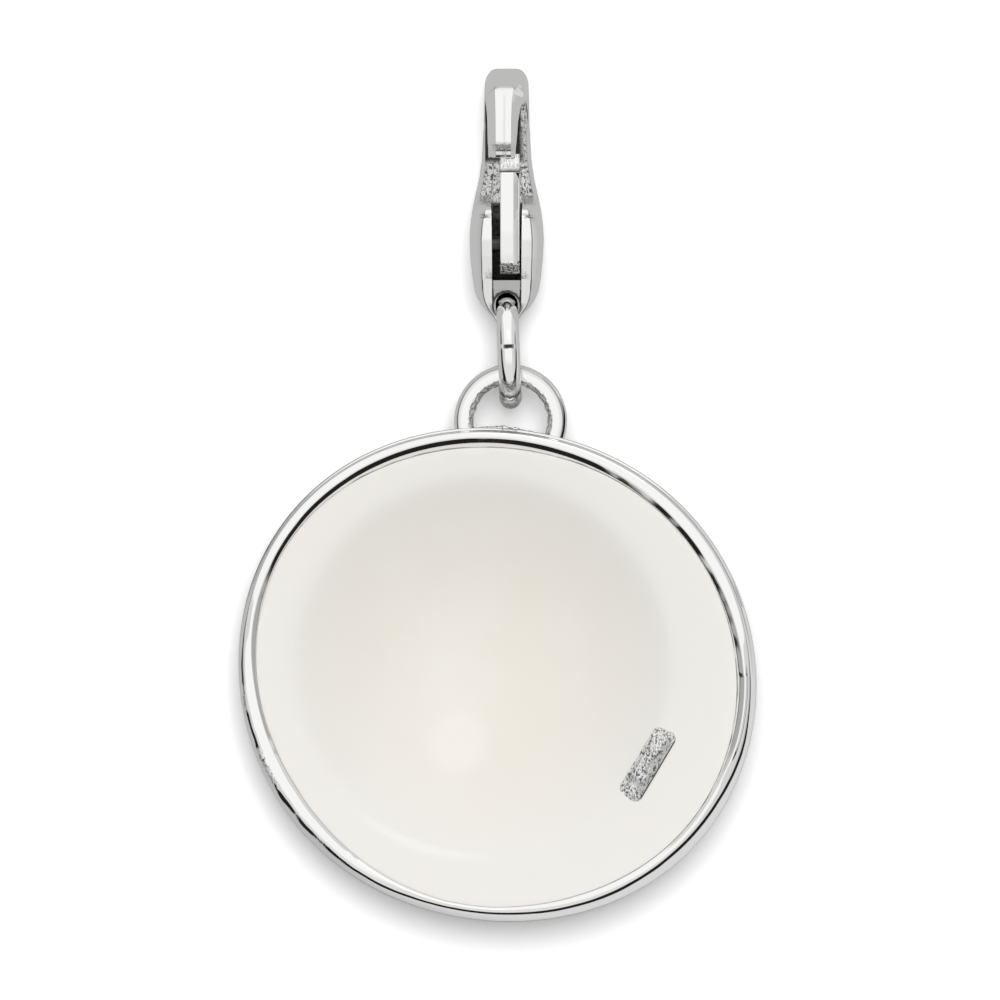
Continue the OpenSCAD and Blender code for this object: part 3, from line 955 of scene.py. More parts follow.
    def profile(self, turn: Array) -> tuple[Array, Array]:
        """Rim's profile in each direction, from the underside over the crest to the seat.

        The control rows of the outer edge are mixed by the filing's amount, then come
        the crest's shoulder and the flank, and a B-spline runs through all of them.

        Args:
            turn: directions in degrees.

        Returns:
            Insets in rim widths and heights over the enamel's edge in mm, each shaped
            (samples, directions).
        """
        amount, middle, bend, crest = (eased(self.filing, k, turn, 5) for k in (1, 2, 3, 4))
        room = np.clip((bend - middle - 0.06) / 0.30, 0.35, 1.0)
        narrow = np.minimum(self.form.rim(turn) / 0.85, 1.0)
        inset, height = self.outer_edge(amount, middle, crest, room, narrow)
        flat = 1 - sum(
            share * bell((turn - at + 180) % 360, 180, reach)
            for at, reach, share in self.flattened
        )
        start, end = self.flat_turns
        tight = 1 - 0.5 * smooth(start - 8, start + 9, turn) * smooth(end + 6, end - 6, turn)
        place, drop = self.shoulder_rows[:, :1], self.shoulder_rows[:, 1:]
        shoulder = bend + place * np.where(place < 0, room, 1.0) * tight
        top = crest - drop * narrow * flat * tight
        flank = shoulder[-1] + self.flank_rows[:, :1] * (0.985 - shoulder[-1])
        down = top[-1] - self.flank_rows[:, 1:] * (top[-1] + self.joint_drop)
        seat = np.broadcast_to(table((1.0,), (1.0,), (1.0,)), (3, len(turn)))
        deep = np.broadcast_to(table((-0.12,), (-0.2,), (-self.form.seat_drop,)), (3, len(turn)))
        insets = np.concatenate([inset, shoulder, flank, seat])
        heights = np.concatenate([height, top, down, deep])
        curves = spline(np.concatenate([insets, heights], axis=1), 3)
        return curves[:, : len(turn)], curves[:, len(turn) :]

    def outer_edge(self, amount: Array, middle: Array, crest: Array, room: Array,
                   narrow: Array) -> tuple[Array, Array]:
        """Control rows of the outer edge: stepped rows mixed with filed ones by an amount.

        The stepped rows near the wire rise with the crest. The filed rows on the slope
        move with its middle and shrink about 0.03 mm with the rim's width, and stay
        below the crest.

        Args:
            amount: how far each direction is filed round, from 0 to 1.
            middle: inset of the slope's middle, in rim widths.
            crest: height of the crest in mm.
            room: share of the slope's inner half that there is room for.
            narrow: the rim's width there, as a share of a wide rim's.

        Returns:
            Insets in rim widths and heights in mm, each shaped (rows, directions).
        """
        number = np.arange(len(self.filed_rows))[:, None]
        on_slope = number > 5
        place, level = self.filed_rows[:, :1], self.filed_rows[:, 1:]
        moved = np.maximum(place * np.where(place > 0, room, 1.0) + middle, 0.004 * number)
        slope = np.where(on_slope, moved, place)
        lift = 0.08 * smooth(0.25, 0.6, middle) * smooth(5, 13, number)
        shrunk = 0.03 + (level - 0.03) * np.where(on_slope, narrow, 1.0)
        filed = np.minimum(shrunk + lift, crest - 0.004 * (len(number) - number))
        out, stepped = self.stepped_rows[:, :1], self.stepped_rows[:, 1:]
        raised = stepped + (crest - 0.30) * smooth(-0.16, 0.28, stepped)
        inset = out * (1 - amount) + slope * amount
        return inset, raised * (1 - amount) + filed * amount

    def filed(self, rim: Array) -> Array:
        """Rim with the slow waviness of hand filing, strongest at the lower left.

        Args:
            rim: points of the rim in the dish's own frame.

        Returns:
            The points, raised and lowered by two random waves.
        """
        slow, fine = Grain(3, 1.6), Grain(4, 0.5)
        turn = np.degrees(np.arctan2(rim[..., 1], rim[..., 0])) % 360
        rough = bell(turn, 205, 22) + 0.5 * bell(turn, 20, 14)
        wave = 0.012 * slow.at(rim) + (0.006 + 0.018 * rough) * fine.at(rim)
        moved = rim.copy()
        moved[..., 2] += wave
        return moved


@dataclass
class Tablet:
    """Bare raised tablet that stands in the enamel, left rough from the mould."""

    form: DishForm
    reach: float = 7.07
    turn: float = -30.7
    half_w: float = 0.52
    half_l: float = 1.62
    proud: float = 0.10
    # From the crown down the sides: share of the outline, and height over the crown's foot.
    rows: Array = field(
        default_factory=lambda: table(
            (0.1, 0.05), (0.25, 0.05), (0.4, 0.05), (0.54, 0.045), (0.66, 0.04), (0.76, 0.03),
            (0.85, 0.015), (0.92, -0.01), (0.97, -0.05), (1.0, -0.11), (1.0, -0.2), (1.0, -0.35),
        )
    )

    def skin(self) -> Skin:
        """Rounded rectangles from the rough crown down to the foot, stood on the brim.

        Returns:
            The skin, with its shares of cast skin and of painted shade.
        """
        form, half_w = self.form, self.half_w
        depth = form.seat_drop + form.silver_wall / 2
        shares, levels = np.append(self.rows, [(1.0, -depth)], axis=0).T
        corners = np.array([(-1, -1), (1, -1), (1, 1), (-1, 1)]) * [half_w, self.half_l]
        outline = rounded(corners[None], np.full(4, half_w * 0.75), 26)[0]
        across, along = shares[:, None] * outline.T[:, None]
        loops = stacked(across, along, levels[:, None])
        grain, pits = Grain(11, 0.16), Grain(12, 0.3)
        crown = smooth(-0.2, 0.0, levels)[:, None]
        bumps = 0.05 * grain.at(loops) - 0.05 * smooth(0.1, 0.6, pits.at(loops + 5))
        loops[..., 2] += crown * bumps
        angle = math.radians(self.turn)
        ahead = np.array([math.cos(angle), math.sin(angle)])
        x, y = self.reach * ahead
        step = 0.4 * ahead
        slope = (form.face(x + step[0], y + step[1]) - form.face(x - step[0], y - step[1])) / 0.8
        out = np.array([*ahead, slope])
        side = np.array([-ahead[1], ahead[0], 0.0])
        axes = np.stack([unit(out), side, unit(np.cross(out, side))])
        base = np.array([x, y, form.face(x, y) + self.proud])
        skin = loft(
            form.laid(base + loops @ axes),
            form.laid(base + np.array([0, 0, levels[0]]) @ axes),
            form.laid(base + np.array([0, 0, -depth]) @ axes),
        )
        skin.cast = np.ones(len(skin.points))
        # Painted shade along one long side below the crown, and in the pits' pockets.
        edge = smooth(half_w * 0.90, half_w * 0.97, loops[..., 0])
        edge = edge * smooth(0.03, 0.0, levels)[:, None]
        pocket = smooth(0.25, 0.6, pits.at(loops + 5))
        skin.painted_shade_and_reflection = np.append(np.maximum(0.95 * edge, 0.35 * pocket).reshape(-1), [0.0, 0.0])
        return skin


@dataclass
class Enamel:
    """White enamel in the dish's hollow and on its brim."""

    form: DishForm
    thickness: float = 0.28
    # The edge shrinks down as it sets, wets the silver, and is rounded there.
    edge_drop: float = 0.04
    edge_gap: float = -0.012
    edge_r: float = 0.03
    # Waves over the face, near the edge and right at it, and how far in the last two and
    # the edge's drop reach, in mm.
    face_waves: tuple[Layer, ...] = ((21, 1.9, 0.006), (22, 0.8, 0.002))
    near_waves: Layer = (23, 0.45, 0.02)
    ragged_waves: tuple[Layer, ...] = ((24, 0.5, 0.025), (25, 0.2, 0.02))
    near_reach: float = 0.35
    ragged_reach: float = 0.12
    drop_reach: float = 0.10
    columns: int = 432

    def skin(self) -> Skin:
        """Enamel as a grid: its face from the middle out, its round edge and its back.

        Returns:
            The skin.
        """
        form = self.form
        turn = (np.arange(self.columns) * 360 / self.columns)[None, :]
        shares = [[0.01, 0.025], np.linspace(0.045, 0.95, 82), np.linspace(0.957, 0.996, 9)]
        face = form.spot(turn, np.concatenate(shares)[:, None], 1.0, 0.0, 0.0)
        bend = np.radians(np.linspace(0, 90, 5))[:, None]
        gap = self.edge_gap + self.edge_r * (1 - np.sin(bend))
        edge = form.spot(turn, 1.0, 1.0, gap, self.edge_r * (1 - np.cos(bend)))
        back_shares = np.linspace(1.0, 0.06, 14)[:, None]
        back = form.spot(turn, back_shares, 1.0, form.enamel_gap + 0.01, self.thickness)
        top = np.concatenate([face, edge])
        inside = form.outline(turn) - form.rim(turn) - np.hypot(top[..., 0], top[..., 1])
        drop, near, at_edge = (
            np.exp(-np.maximum(inside, 0) / reach)
            for reach in (self.drop_reach, self.near_reach, self.ragged_reach)
        )
        wave = bumpy(top, *self.face_waves) + near * bumpy(top, self.near_waves)
        ragged = bumpy(face[-1], *self.ragged_waves)
        top[..., 2] += wave - self.edge_drop * drop + ragged * at_edge
        middle = np.array([0.0, 0.0, form.face(0.0, 0.0)])
        ends = form.laid(np.stack([middle, middle - [0, 0, self.thickness]]))
        return loft(form.laid(np.concatenate([top, back])), ends[0], ends[1])


# The bail and the jump ring


@dataclass
class Bail:
    """Flat ring soldered behind the rim, and the solder along its foot."""

    form: DishForm
    outer_d: float = 4.57
    hole_d: float = 3.0
    thick: float = 0.75
    out: float = 0.3
    x: float = 0.53
    ring_z: float = 2.35
    # The bead of solder: its directions round the dish, its radius, and its drop from the
    # enamel's edge.
    bead_turns: tuple[float, float] = (81.0, 94.5)
    bead_r: float = 0.10
    bead_drop: float = 0.42
    bead_lumps: tuple[Layer, ...] = ((41, 0.3, 0.07), (42, 0.11, 0.03))

    def place(self) -> Array:
        """Middle of the bail in the dish's own frame, level with the jump ring's middle.

        Returns:
            The place in millimetres.
        """
        y = float(self.form.outline(np.array(90.0))) + self.out
        far = np.array([self.x, y + (self.outer_d + self.hole_d) / 4, 0.0])
        return np.array([self.x, y, self.ring_z - self.form.laid(far)[2]])

    def skin(self) -> Skin:
        """A section with a bevel outside and a flare inside, turned round the hole.

        Returns:
            The skin, with its shares of cast skin and of painted dark reflection.
        """
        inner, outer = self.hole_d / 2, self.outer_d / 2
        half, bevel = self.thick / 2, self.thick / 5
        section = np.array([
            (inner + 0.02, -half), (outer - bevel, -half), (outer, -half + bevel),
            (outer, half - bevel), (outer - bevel, half), (inner + 0.23, half), (inner, 0.12),
        ])
        cuts = np.array([0.08, 0.06, 0.1, 0.07, 0.035, 0.09, 0.12])
        outline = rounded(section[None], cuts, 8)[0]
        outline = np.concatenate([(outline + np.roll(outline, -1, axis=0)) / 2, outline], axis=1)
        outline = outline[:, [2, 3, 0, 1]].reshape(-1, 2)
        turn = circle(320)[:, None]
        r, z = outline[None, :, 0], outline[None, :, 1]
        loops = stacked(*polar(r, turn), z)
        inside = smooth(inner + 0.25, inner + 0.17, r) * smooth(-half, -half + 0.2, z)
        inside = np.broadcast_to(inside, loops.shape[:2])
        push = 0.045 * inside * Grain(31, 0.14).at(loops) + 0.006 * Grain(32, 0.7).at(loops)
        loops[..., :2] += unit(loops[..., :2]) * push[..., None]
        made = ring(self.form.laid(loops + self.place()))
        made.cast = 0.75 * inside.reshape(-1)
        # Painted dark reflection line along the outer bevel's top edge.
        line = bell(np.hypot(r - outer + bevel, z - half), 0.0, 0.028)
        made.painted_shade_and_reflection = np.broadcast_to(0.8 * line, loops.shape[:2]).reshape(-1)
        return made

    def solder(self) -> Skin:
        """Bead of solder where the bail meets the rim: a lumpy tube tapering at both ends.

        Its radius follows half an ellipse along the outline, and random lumps push it out.

        Returns:
            The skin, with its share of cast skin.
        """
        form = self.form
        start, end = self.bead_turns
        turn = np.linspace(start, end, 90)[:, None]
        around = circle(28)[None, :]
        share = (turn - start) / (end - start)
        r = self.bead_r * np.sqrt(np.clip(1 - (2 * share - 1) ** 2, 0.0, 1))
        out, up = polar(r, around)
        reach = form.outline(turn) - 0.02 + out
        height = form.spot(turn, 1.0, 1.0, 0.0, 0.0)[..., 2] - self.bead_drop + up
        loops = stacked(*polar(reach, np.radians(turn)), height)
        middle = loops.mean(axis=1, keepdims=True)
        push = bumpy(loops, *self.bead_lumps) * np.minimum(r / self.bead_r, 1)
        loops = form.laid(loops + unit(loops - middle) * push[..., None])
        made = capped(loops)
        made.cast = np.full(len(made.points), 0.6)
        return made


@dataclass
class JumpRing:
    """Ring of round wire that stands on edge, with its soldered joint and a rough end."""

    ring_d: float = 4.7
    wire_d: float = 0.9
    lean: float = 2.4
    # Directions round the ring in degrees, from the clasp's side over the top: the
    # soldered joint and half of its length, the rough end, and the bail's shadowed line.
    joint_at: float = 86.2
    joint_half: float = 2.6
    end_at: float = 168.0
    bail_at: float = 143.5

    def skin(self) -> Skin:
        """A circle of wire carried round a circle, with the joint and the rough end pushed out.

        With a the direction round the ring and b the one round the wire, the reach is
        R + r cos(b), and a point is (r sin(b), reach cos(a), reach sin(a)), leant over.

        Returns:
            The skin, with its shares of cast skin and of painted shade.
        """
        middle = sum(np.array(corner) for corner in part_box("jump_ring")) / 2 / MM
        big, small = (self.ring_d - self.wire_d) / 2, self.wire_d / 2
        turn, around = circle(400)[:, None], circle(64)[None, :]
        top = np.degrees(turn)
        joint = np.clip(1 - np.abs(top - self.joint_at) / self.joint_half, 0, 1)
        spots = stacked(small * np.sin(around), *polar(big, turn))
        rough = Grain(51, 0.16).at(spots + 3)
        upward = smooth(0.80, 0.94, np.cos(around))
        beside = bell(around, math.radians(325), 0.22) * joint
        push = -0.10 * joint * upward * (1 + 0.5 * rough) + 0.05 * beside
        lumps = 0.04 * bell(top, self.end_at, 8) * (0.4 + rough)
        push = push + lumps * smooth(-0.2, 0.6, np.cos(around))
        push = push + 0.004 * Grain(52, 0.8).at(spots)
        out, x = polar(small + push, around)
        y, z = polar(big + out, turn)
        cos, sin = polar(1.0, math.radians(self.lean))
        loops = stacked(x * cos - y * sin, x * sin + y * cos, z)
        made = ring(loops + middle)
        made.points[:, 2] = np.maximum(made.points[:, 2], 0.0)
        made.cast, made.painted_shade_and_reflection = (
            np.broadcast_to(share, loops.shape[:2]).reshape(-1)
            for share in self.cast_and_painted_shade(top, around, joint, upward)
        )
        return made

    def cast_and_painted_shade(self, top: Array, around: Array, joint: Array, upward: Array) -> tuple[Array, Array]:
        """Where the wire is rough, and where painted shade darkens it.

        It is rough in the joint, at the rough end, and a little where it rubs on the
        bail. Painted shade darkens the joint's notch, a line beside the bail and the part
        in the clasp's tail hole.

        Args:
            top: directions round the ring in degrees.
            around: directions round the wire.
            joint: share of the joint there.
            upward: share of the joint's notch, which is on the ring's outside.

        Returns:
            Shares of cast skin and of painted shade.
        """
        outside = smooth(-0.2, 0.4, np.cos(around))
        dull = 0.2 * smooth(118, 126, top) * smooth(142, 136, top) * outside
        end = 0.9 * smooth(153, 157, top) * smooth(185, 175, top)
        end = end * smooth(0.5, 0.8, np.cos(around))
        cast = np.clip(0.7 * joint * upward + dull + end, 0, 1)
        # Painted shade beside the bail, in the clasp's tail hole and in the joint's notch.
        crescent = 0.85 * bell(top, self.bail_at, 2.2) * outside
        in_hole = 0.9 * smooth(30, 22, np.minimum(top, 360 - top)) * outside
        notch = 0.97 * smooth(0.05, 0.4, joint) * upward
        return cast, np.max(np.stack([crescent, in_hole, notch]), axis=0)


# The clasp


@dataclass
class ClaspBody:
    """Cast clasp: tail, cheeks, spine, bend and bar, as one surface along its outer line.

    A station is a distance in mm from the tail hole along the spine's back. Past
    the hook's seat it goes on round the bend, over bend_run, and then down the bar.
    """

    length: float = 9.6
    height: float = 4.5
    spine_t: float = 1.0
    bar_t: float = 0.95
    crown_t: float = 0.84
    tip: float = 5.97
    hole_r: float = 0.597
    hole_z: float = 2.35
    pin_r: float = 0.33
    pivot: float = 2.49
    pivot_z: float = 2.85
    bend_run: float = 5.0
    # Sections up to the hook's seat, in mm. Columns: station, half width, place of
    # the facet's outer edge, half width of the channel, height of the facet's inner
    # and outer edge, floor of the channel, underside of the cheeks and of the web.
    body_rows: Array = field(
        default_factory=lambda: table(
            (-0.84, 0.08, 0.06, 0.04, 2.58, 2.57, 2.57, 2.26, 2.27),
            (-0.82, 0.20, 0.16, 0.10, 2.76, 2.74, 2.72, 2.04, 2.05),
            (-0.76, 0.33, 0.30, 0.20, 2.89, 2.88, 2.80, 1.86, 1.87),
            (-0.66, 0.42, 0.39, 0.28, 2.94, 2.93, 2.80, 1.74, 1.75),
            (-0.50, 0.52, 0.48, 0.36, 3.01, 3.00, 2.80, 1.64, 1.70),
            (-0.40, 0.58, 0.54, 0.42, 3.06, 3.05, 2.80, 1.60, 1.70),
            (-0.28, 0.70, 0.64, 0.48, 3.12, 3.10, 2.82, 1.54, 1.70),
            (-0.10, 0.89, 0.77, 0.54, 3.21, 3.18, 2.85, 1.46, 1.70),
            (0.10, 1.05, 0.86, 0.58, 3.31, 3.27, 2.89, 1.36, 1.70),
            (0.35, 1.19, 0.93, 0.59, 3.43, 3.37, 2.96, 1.20, 1.70),
            (0.60, 1.30, 0.97, 0.59, 3.56, 3.46, 3.04, 1.04, 1.70),
            (0.66, 1.31, 0.98, 0.59, 3.59, 3.49, 3.06, 1.01, 1.02),
            (1.04, 1.375, 1.0, 0.59, 3.81, 3.71, 3.20, 0.73, 0.73),
            (1.10, 1.385, 1.0, 0.59, 3.84, 3.74, 1.40, 0.70, 0.70),
            (1.92, 1.472, 1.02, 0.59, 4.19, 4.08, 1.30, 0.33, 0.33),
            (2.65, 1.505, 1.03, 0.60, 4.37, 4.26, 1.30, 0.15, 0.15),
            (3.10, 1.485, 1.00, 0.60, 4.42, 4.33, 1.30, 0.12, 0.12),
            (3.40, 1.455, 0.965, 0.61, 4.43, 4.35, 1.30, 0.10, 0.10),
            (3.52, 1.440, 0.93, 0.61, 4.40, 4.33, 1.30, 0.10, 0.10),
            (3.58, 1.430, 0.91, 0.61, 4.27, 4.22, 1.30, 0.10, 0.10),
            (3.64, 1.425, 0.91, 0.61, 4.27, 4.22, 1.30, 0.10, 0.10),
            (3.72, 1.415, 0.90, 0.61, 4.33, 4.27, 1.30, 0.10, 0.10),
            (3.84, 1.395, 0.86, 0.62, 4.27, 4.20, 1.28, 0.10, 0.10),
            (3.98, 1.37, 0.80, 0.63, 4.12, 4.06, 1.26, 0.10, 0.10),
            (4.06, 1.36, 0.85, 0.63, 3.80, 3.74, 1.24, 0.10, 0.10),
            (4.13, 1.345, 0.95, 0.64, 3.05, 2.98, 1.20, 0.10, 0.10),
            (4.20, 1.335, 1.06, 0.65, 2.30, 2.25, 1.18, 0.10, 0.10),
            (4.30, 1.315, 1.10, 0.66, 1.62, 1.58, 1.12, 0.10, 0.10),
            (4.50, 1.275, 1.08, 0.66, 1.16, 1.15, 1.04, 0.09, 0.09),
            (5.16, 1.12, 0.95, 0.56, 1.02, 1.01, 0.98, 0.06, 0.06),
            (6.00, 1.00, 0.84, 0.50, 1.00, 0.99, 0.97, 0.02, 0.02),
            (6.70, 0.964, 0.80, 0.48, 1.00, 0.98, 0.97, 0.00, 0.00),
            (7.485, 0.93, 0.77, 0.46, 1.00, 0.98, 0.98, 0.00, 0.00),
        )
    )
    # Hook past the seat. Columns: degrees round the bend, or 90 and the distance in mm
    # down the bar; right and left half width; shift to the left; right and left end of
    # the facets; depth of the bevel beside them; how round the bevel's corners are.
    hook_rows: Array = field(
        default_factory=lambda: table(
            (-90, 0.93, 0.93, 0.00, 0.52, 0.52, 0.30, 0.25),
            (-60, 0.90, 0.90, 0.00, 0.50, 0.50, 0.40, 0.30),
            (-20, 0.87, 0.87, 0.00, 0.48, 0.48, 0.42, 0.30),
            (0, 0.86, 0.86, 0.00, 0.48, 0.48, 0.42, 0.30),
            (40, 0.85, 0.85, 0.00, 0.48, 0.48, 0.42, 0.30),
            (53, 0.83, 0.83, 0.03, 0.44, 0.44, 0.46, 0.25),
            (58.5, 0.79, 0.80, 0.07, 0.40, 0.40, 0.57, 0.10),
            (60, 0.76, 0.78, 0.08, 0.38, 0.395, 0.59, 0.04),
            (63, 0.71, 0.76, 0.09, 0.35, 0.39, 0.57, 0.02),
            (72, 0.64, 0.73, 0.09, 0.30, 0.38, 0.51, 0.02),
            (90, 0.565, 0.70, 0.09, 0.275, 0.365, 0.47, 0.02),
            (91.4, 0.44, 0.67, 0.09, 0.27, 0.36, 0.43, 0.02),
            (91.6, 0.40, 0.60, 0.09, 0.27, 0.36, 0.38, 0.02),
        )
    )
    # Planes that bound the hook in the upright plane, seen from the middle of its seat.
    # Columns: direction of the plane's normal in degrees, its distance in mm.
    hook_planes: Array = field(
        default_factory=lambda: table(
            (-90, 2.275), (-45, 2.72), (0, 2.115), (33, 2.316), (90, 2.225)
        )
    )
    # Filed end of the bar: reach in mm, how far its outer face has dropped.
    tip_rows: Array = field(
        default_factory=lambda: table(
            (5.90, 0.90), (5.97, 0.66), (6.01, 0.48), (6.07, 0.39), (6.20, 0.34),
            (6.26, 0.30), (6.47, 0.10), (6.55, 0.02), (6.63, 0.00), (7.00, 0.00),
        )
    )
    # Tail hole: height from its middle, and how much wider it is there. The rows of its
    # straight wall give it the points that carry the painted shade.
    hole_rows: Array = field(
        default_factory=lambda: table(
            (-1.50, -0.06), (-0.66, -0.07), (-0.56, -0.07), (-0.35, 0.0),
            (0.30, 0.0), (0.46, 0.0), (0.60, 0.0), (1.50, 0.0),
        )
    )
    # Cuts of a side's eleven corners, on the body and on the hook.
    body_cuts: Array = field(
        default_factory=lambda: np.array([0.3, 0.12, 0.03, 0.045, 0.05, 0.2, 9, 9, 9, 9, 0.3])
    )
    hook_cuts: Array = field(
        default_factory=lambda: np.array([0.3, 0.2, 0.14, 0.14, 0.1, 0.02, 0, 0, 0.1, 0.02, 0.02])
    )
    # Stations between which a fold crosses the cheeks' facets.
    fold: tuple[float, float] = (3.40, 3.98)

    def __post_init__(self) -> None:
        """Works out the hook's seat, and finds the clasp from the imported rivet's box."""
        pin = sum(np.array(corner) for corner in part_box("lever_pin")) / 2 / MM
        self.origin = pin - [0.0, self.pivot, self.pivot_z]
        self.seat_r = (self.height - self.spine_t - self.bar_t) / 2
        self.seat = self.length - self.crown_t - self.seat_r
        self.seat_z = self.spine_t + self.seat_r

    def stations(self) -> Array:
        """Stations of the sections, close together where the form turns fast.

        Returns:
            The rising stations in mm.
        """
        bar = self.seat + self.bend_run
        end = bar + self.seat - self.tip
        # From, to, and the number of sections between them.
        stretches = [(-0.84, -0.4, 20), (-0.4, 0.56, 20), (0.56, 0.7, 8), (0.7, 1.02, 7),
                     (1.02, 1.12, 8), (1.12, 3.4, 40), (3.4, 4.3, 46), (4.3, self.seat, 44),
                     (self.seat, bar - 1.3, 90), (bar - 1.3, bar - 0.5, 60), (bar - 0.5, bar, 20),
                     (bar, end - 0.7, 16), (end - 0.7, end, 36)]
        rows = [np.linspace(start, stop, n, endpoint=False) for start, stop, n in stretches]
        return np.concatenate([*rows, [end]])

    def corners(self, station: Array) -> tuple[Array, Array]:
        """Corners of the sections across and in from the outer line, and their cuts.

        Eleven corners run down the right side, from the middle of the inner face to
        the middle of the outer face, and nine come back up the left side.

        Args:
            station: the stations.

        Returns:
            Corners shaped (stations, 20, 2), and cuts shaped (stations, 20).
        """
        place = self.round_bend(station) + self.past_bend(station)
        right_wide, left_wide, shift, right, left, bevel, ease = (
            eased(self.hook_rows, k, place, 0.5) for k in range(1, 8)
        )
        body = self.body_side(station)
        blend = smooth(self.seat - 0.5, self.seat + 0.4, station)[:, None, None]
        right_side, left_side = (
            body * (1 - blend) + self.hook_side(station, wide, facet, bevel, ease) * blend
            for wide, facet in ((right_wide, right), (left_wide, left))
        )
        loop = np.concatenate([right_side, left_side[:, 9:0:-1] * [-1, 1]], axis=1)
        loop = loop + np.where(station > self.seat, shift, 0.0)[:, None, None] * [-1, 0]
        mix = smooth(self.seat - 0.2, self.seat + 0.6, station)[:, None]
        one_side = self.body_cuts * (1 - mix) + self.hook_cuts * mix
        one_side[:, 6:8] = one_side[:, 6:8] * (1 - mix) + ease[:, None] * mix
        return loop, np.concatenate([one_side, one_side[:, 9:0:-1]], axis=1)

    def body_side(self, station: Array) -> Array:
        """Corners of the right side of the tail, the cheeks and the spine.

        From the channel's middle they go out along its floor, up its wall, out over the
        facet to the crease, down the flank and in along the underside. The flank skips
        the fold across the cheeks.

        Args:
            station: the stations.

        Returns:
            Places across and in from the outer line, shaped (stations, 11, 2).
        """
        half, crease, channel, top, top_out, floor, base, web = (
            eased(self.body_rows, k, station, 0.02) for k in range(1, 9)
        )
        hollow = web - base > 0.05
        strip = half - crease
        start, end = self.fold
        level = np.interp(station, [start, end], [4.35, 4.06])
        full = np.where((station > start) & (station < end), level, top_out) - base
        none = np.zeros_like(station)
        foot = np.where(hollow, channel + 0.12, np.minimum(half * 0.72, half - 0.02))
        pairs = [
            (none, floor), (channel, floor), (channel, top), (crease, top_out),
            (crease + 0.5 * strip, top_out - 0.62 * strip), (half, base + 0.80 * full),
            (half, base + 0.34 * full), (half * 0.93, base + 0.11 * full), (foot, base),
            (np.where(hollow, channel, half * 0.4), np.where(hollow, web, base)), (none, web),
        ]
        return np.stack([stacked(*pair) for pair in pairs], axis=1)

    def hook_side(self, station: Array, wide: Array, facet: Array, bevel: Array,
                  ease: Array) -> Array:
        """Corners of one side of the hook, from the inner face out and over to the outer one.

        Args:
            station: the stations.
            wide: half width of the side.
            facet: how far out the outer face's flat facet reaches.
            bevel: depth of the bevel beside the facet.
            ease: how round the bevel's corners are.

        Returns:
            Places across and in from the outer line, shaped (stations, 11, 2).
        """
        place = self.round_bend(station) + self.past_bend(station)
        thick = self.thickness(station)
        soft = smooth(0.04, 0.28, ease)
        groove = 0.02 * smooth(62, 66, place) + 0.05 * smooth(91.05, 91.3, place)
        deep = bevel * (1 + 0.6 * soft)
        none = np.zeros_like(station)
        pairs = [
            (none, thick), (wide * 0.5, thick), (wide * 0.84, thick), (wide, thick - 0.12),
            (wide, np.maximum(thick - 0.3, deep + 0.04)), (wide, deep + 0.03),
            (wide * (1 - 0.07 * soft), bevel * (1 - 0.24 * soft)),
            (facet + 0.46 * soft * (wide - facet), 0.19 * bevel * soft),
            (facet * (0.5 + 0.46 * soft), none), (none + 0.03 + groove / 2, none), (none, groove),
        ]
        return np.stack([stacked(*pair) for pair in pairs], axis=1)

    def round_bend(self, station: Array) -> Array:
        """Direction in degrees from the seat's middle to each station's place on the bend."""
        return np.clip((station - self.seat) / self.bend_run, 0, 1) * 180 - 90

    def past_bend(self, station: Array) -> Array:
        """Distance in mm of each station down the bar, and 0 before the bar."""
        return np.clip(station - self.seat - self.bend_run, 0, None)

    def outer_line(self, station: Array) -> Array:
        """Outer line of the clasp in the upright plane: reach and height at each station.

        Round the bend it follows the planes: in a direction d its distance is
        (sum of (n . d / distance)^70)^(-1/70), which rounds their corners slightly.
        The bar's outer face is flat and drops at its filed end.

        Args:
            station: the stations.

        Returns:
            Reach and height in mm, shaped (stations, 2).
        """
        angle = np.radians(self.round_bend(station))[:, None]
        past = self.past_bend(station)
        facing = np.cos(angle - np.radians(self.hook_planes[:, 0])) / self.hook_planes[:, 1]
        distance = np.sum(np.maximum(facing, 0) ** 70, axis=1) ** (-1 / 70)
        out, up = polar(distance, angle[:, 0])
        reach, height = self.seat + out - past, self.seat_z + up
        drop = eased(self.tip_rows, 1, reach, 0.03) * (past > 0)
        straight = station <= self.seat
        return stacked(np.where(straight, station, reach), np.where(straight, 0, height - drop))

    def inner_line(self, station: Array) -> Array:
        """Inner line past the seat: the round seat, then the bar's inner face.

        Args:
            station: the stations.

        Returns:
            Reach and height in mm, shaped (stations, 2).
        """
        out, up = polar(self.seat_r, np.radians(self.round_bend(station)))
        return stacked(self.seat + out - self.past_bend(station), self.seat_z + up)

    def thickness(self, station: Array) -> Array:
        """Distance between the outer and the inner line."""
        gap = self.inner_line(station) - self.outer_line(station)
        return np.maximum(np.linalg.norm(gap, axis=-1), 0.1)

    def skin(self) -> Skin:
        """The loft: at each station a rounded section stands between the two lines.

        A point lies at its place across, and in from the outer line along the
        direction to the inner one. On the straight part that direction is up.

        Returns:
            The skin, with the tail hole's middle at the origin.
        """
        station = self.stations()
        loops = rounded(*self.corners(station), 7)
        outer = self.outer_line(station)
        inward = unit(self.inner_line(station) - outer)
        inward = np.where((station <= self.seat)[:, None], np.array([0.0, 1.0]), inward)
        upright = outer[:, None] + loops[..., 1:] * inward[:, None]
        return capped(np.concatenate([loops[..., :1], upright], axis=-1))

    def cutters(self) -> list[Skin]:
        """The flared tail hole and the rivet's bore.

        Returns:
            The two skins that are cut out.
        """
        heights, wider = self.hole_rows.T[..., None]
        radii = self.hole_r + wider
        turn = circle(72)[None, :]
        hole = stacked(*polar(radii, turn), self.hole_z + heights)
        y, z = polar(self.pin_r, turn)
        bore = stacked(table((-2.0,), (2.0,)), self.pivot + y, self.pivot_z + z)
        return [capped(hole), capped(bore)]

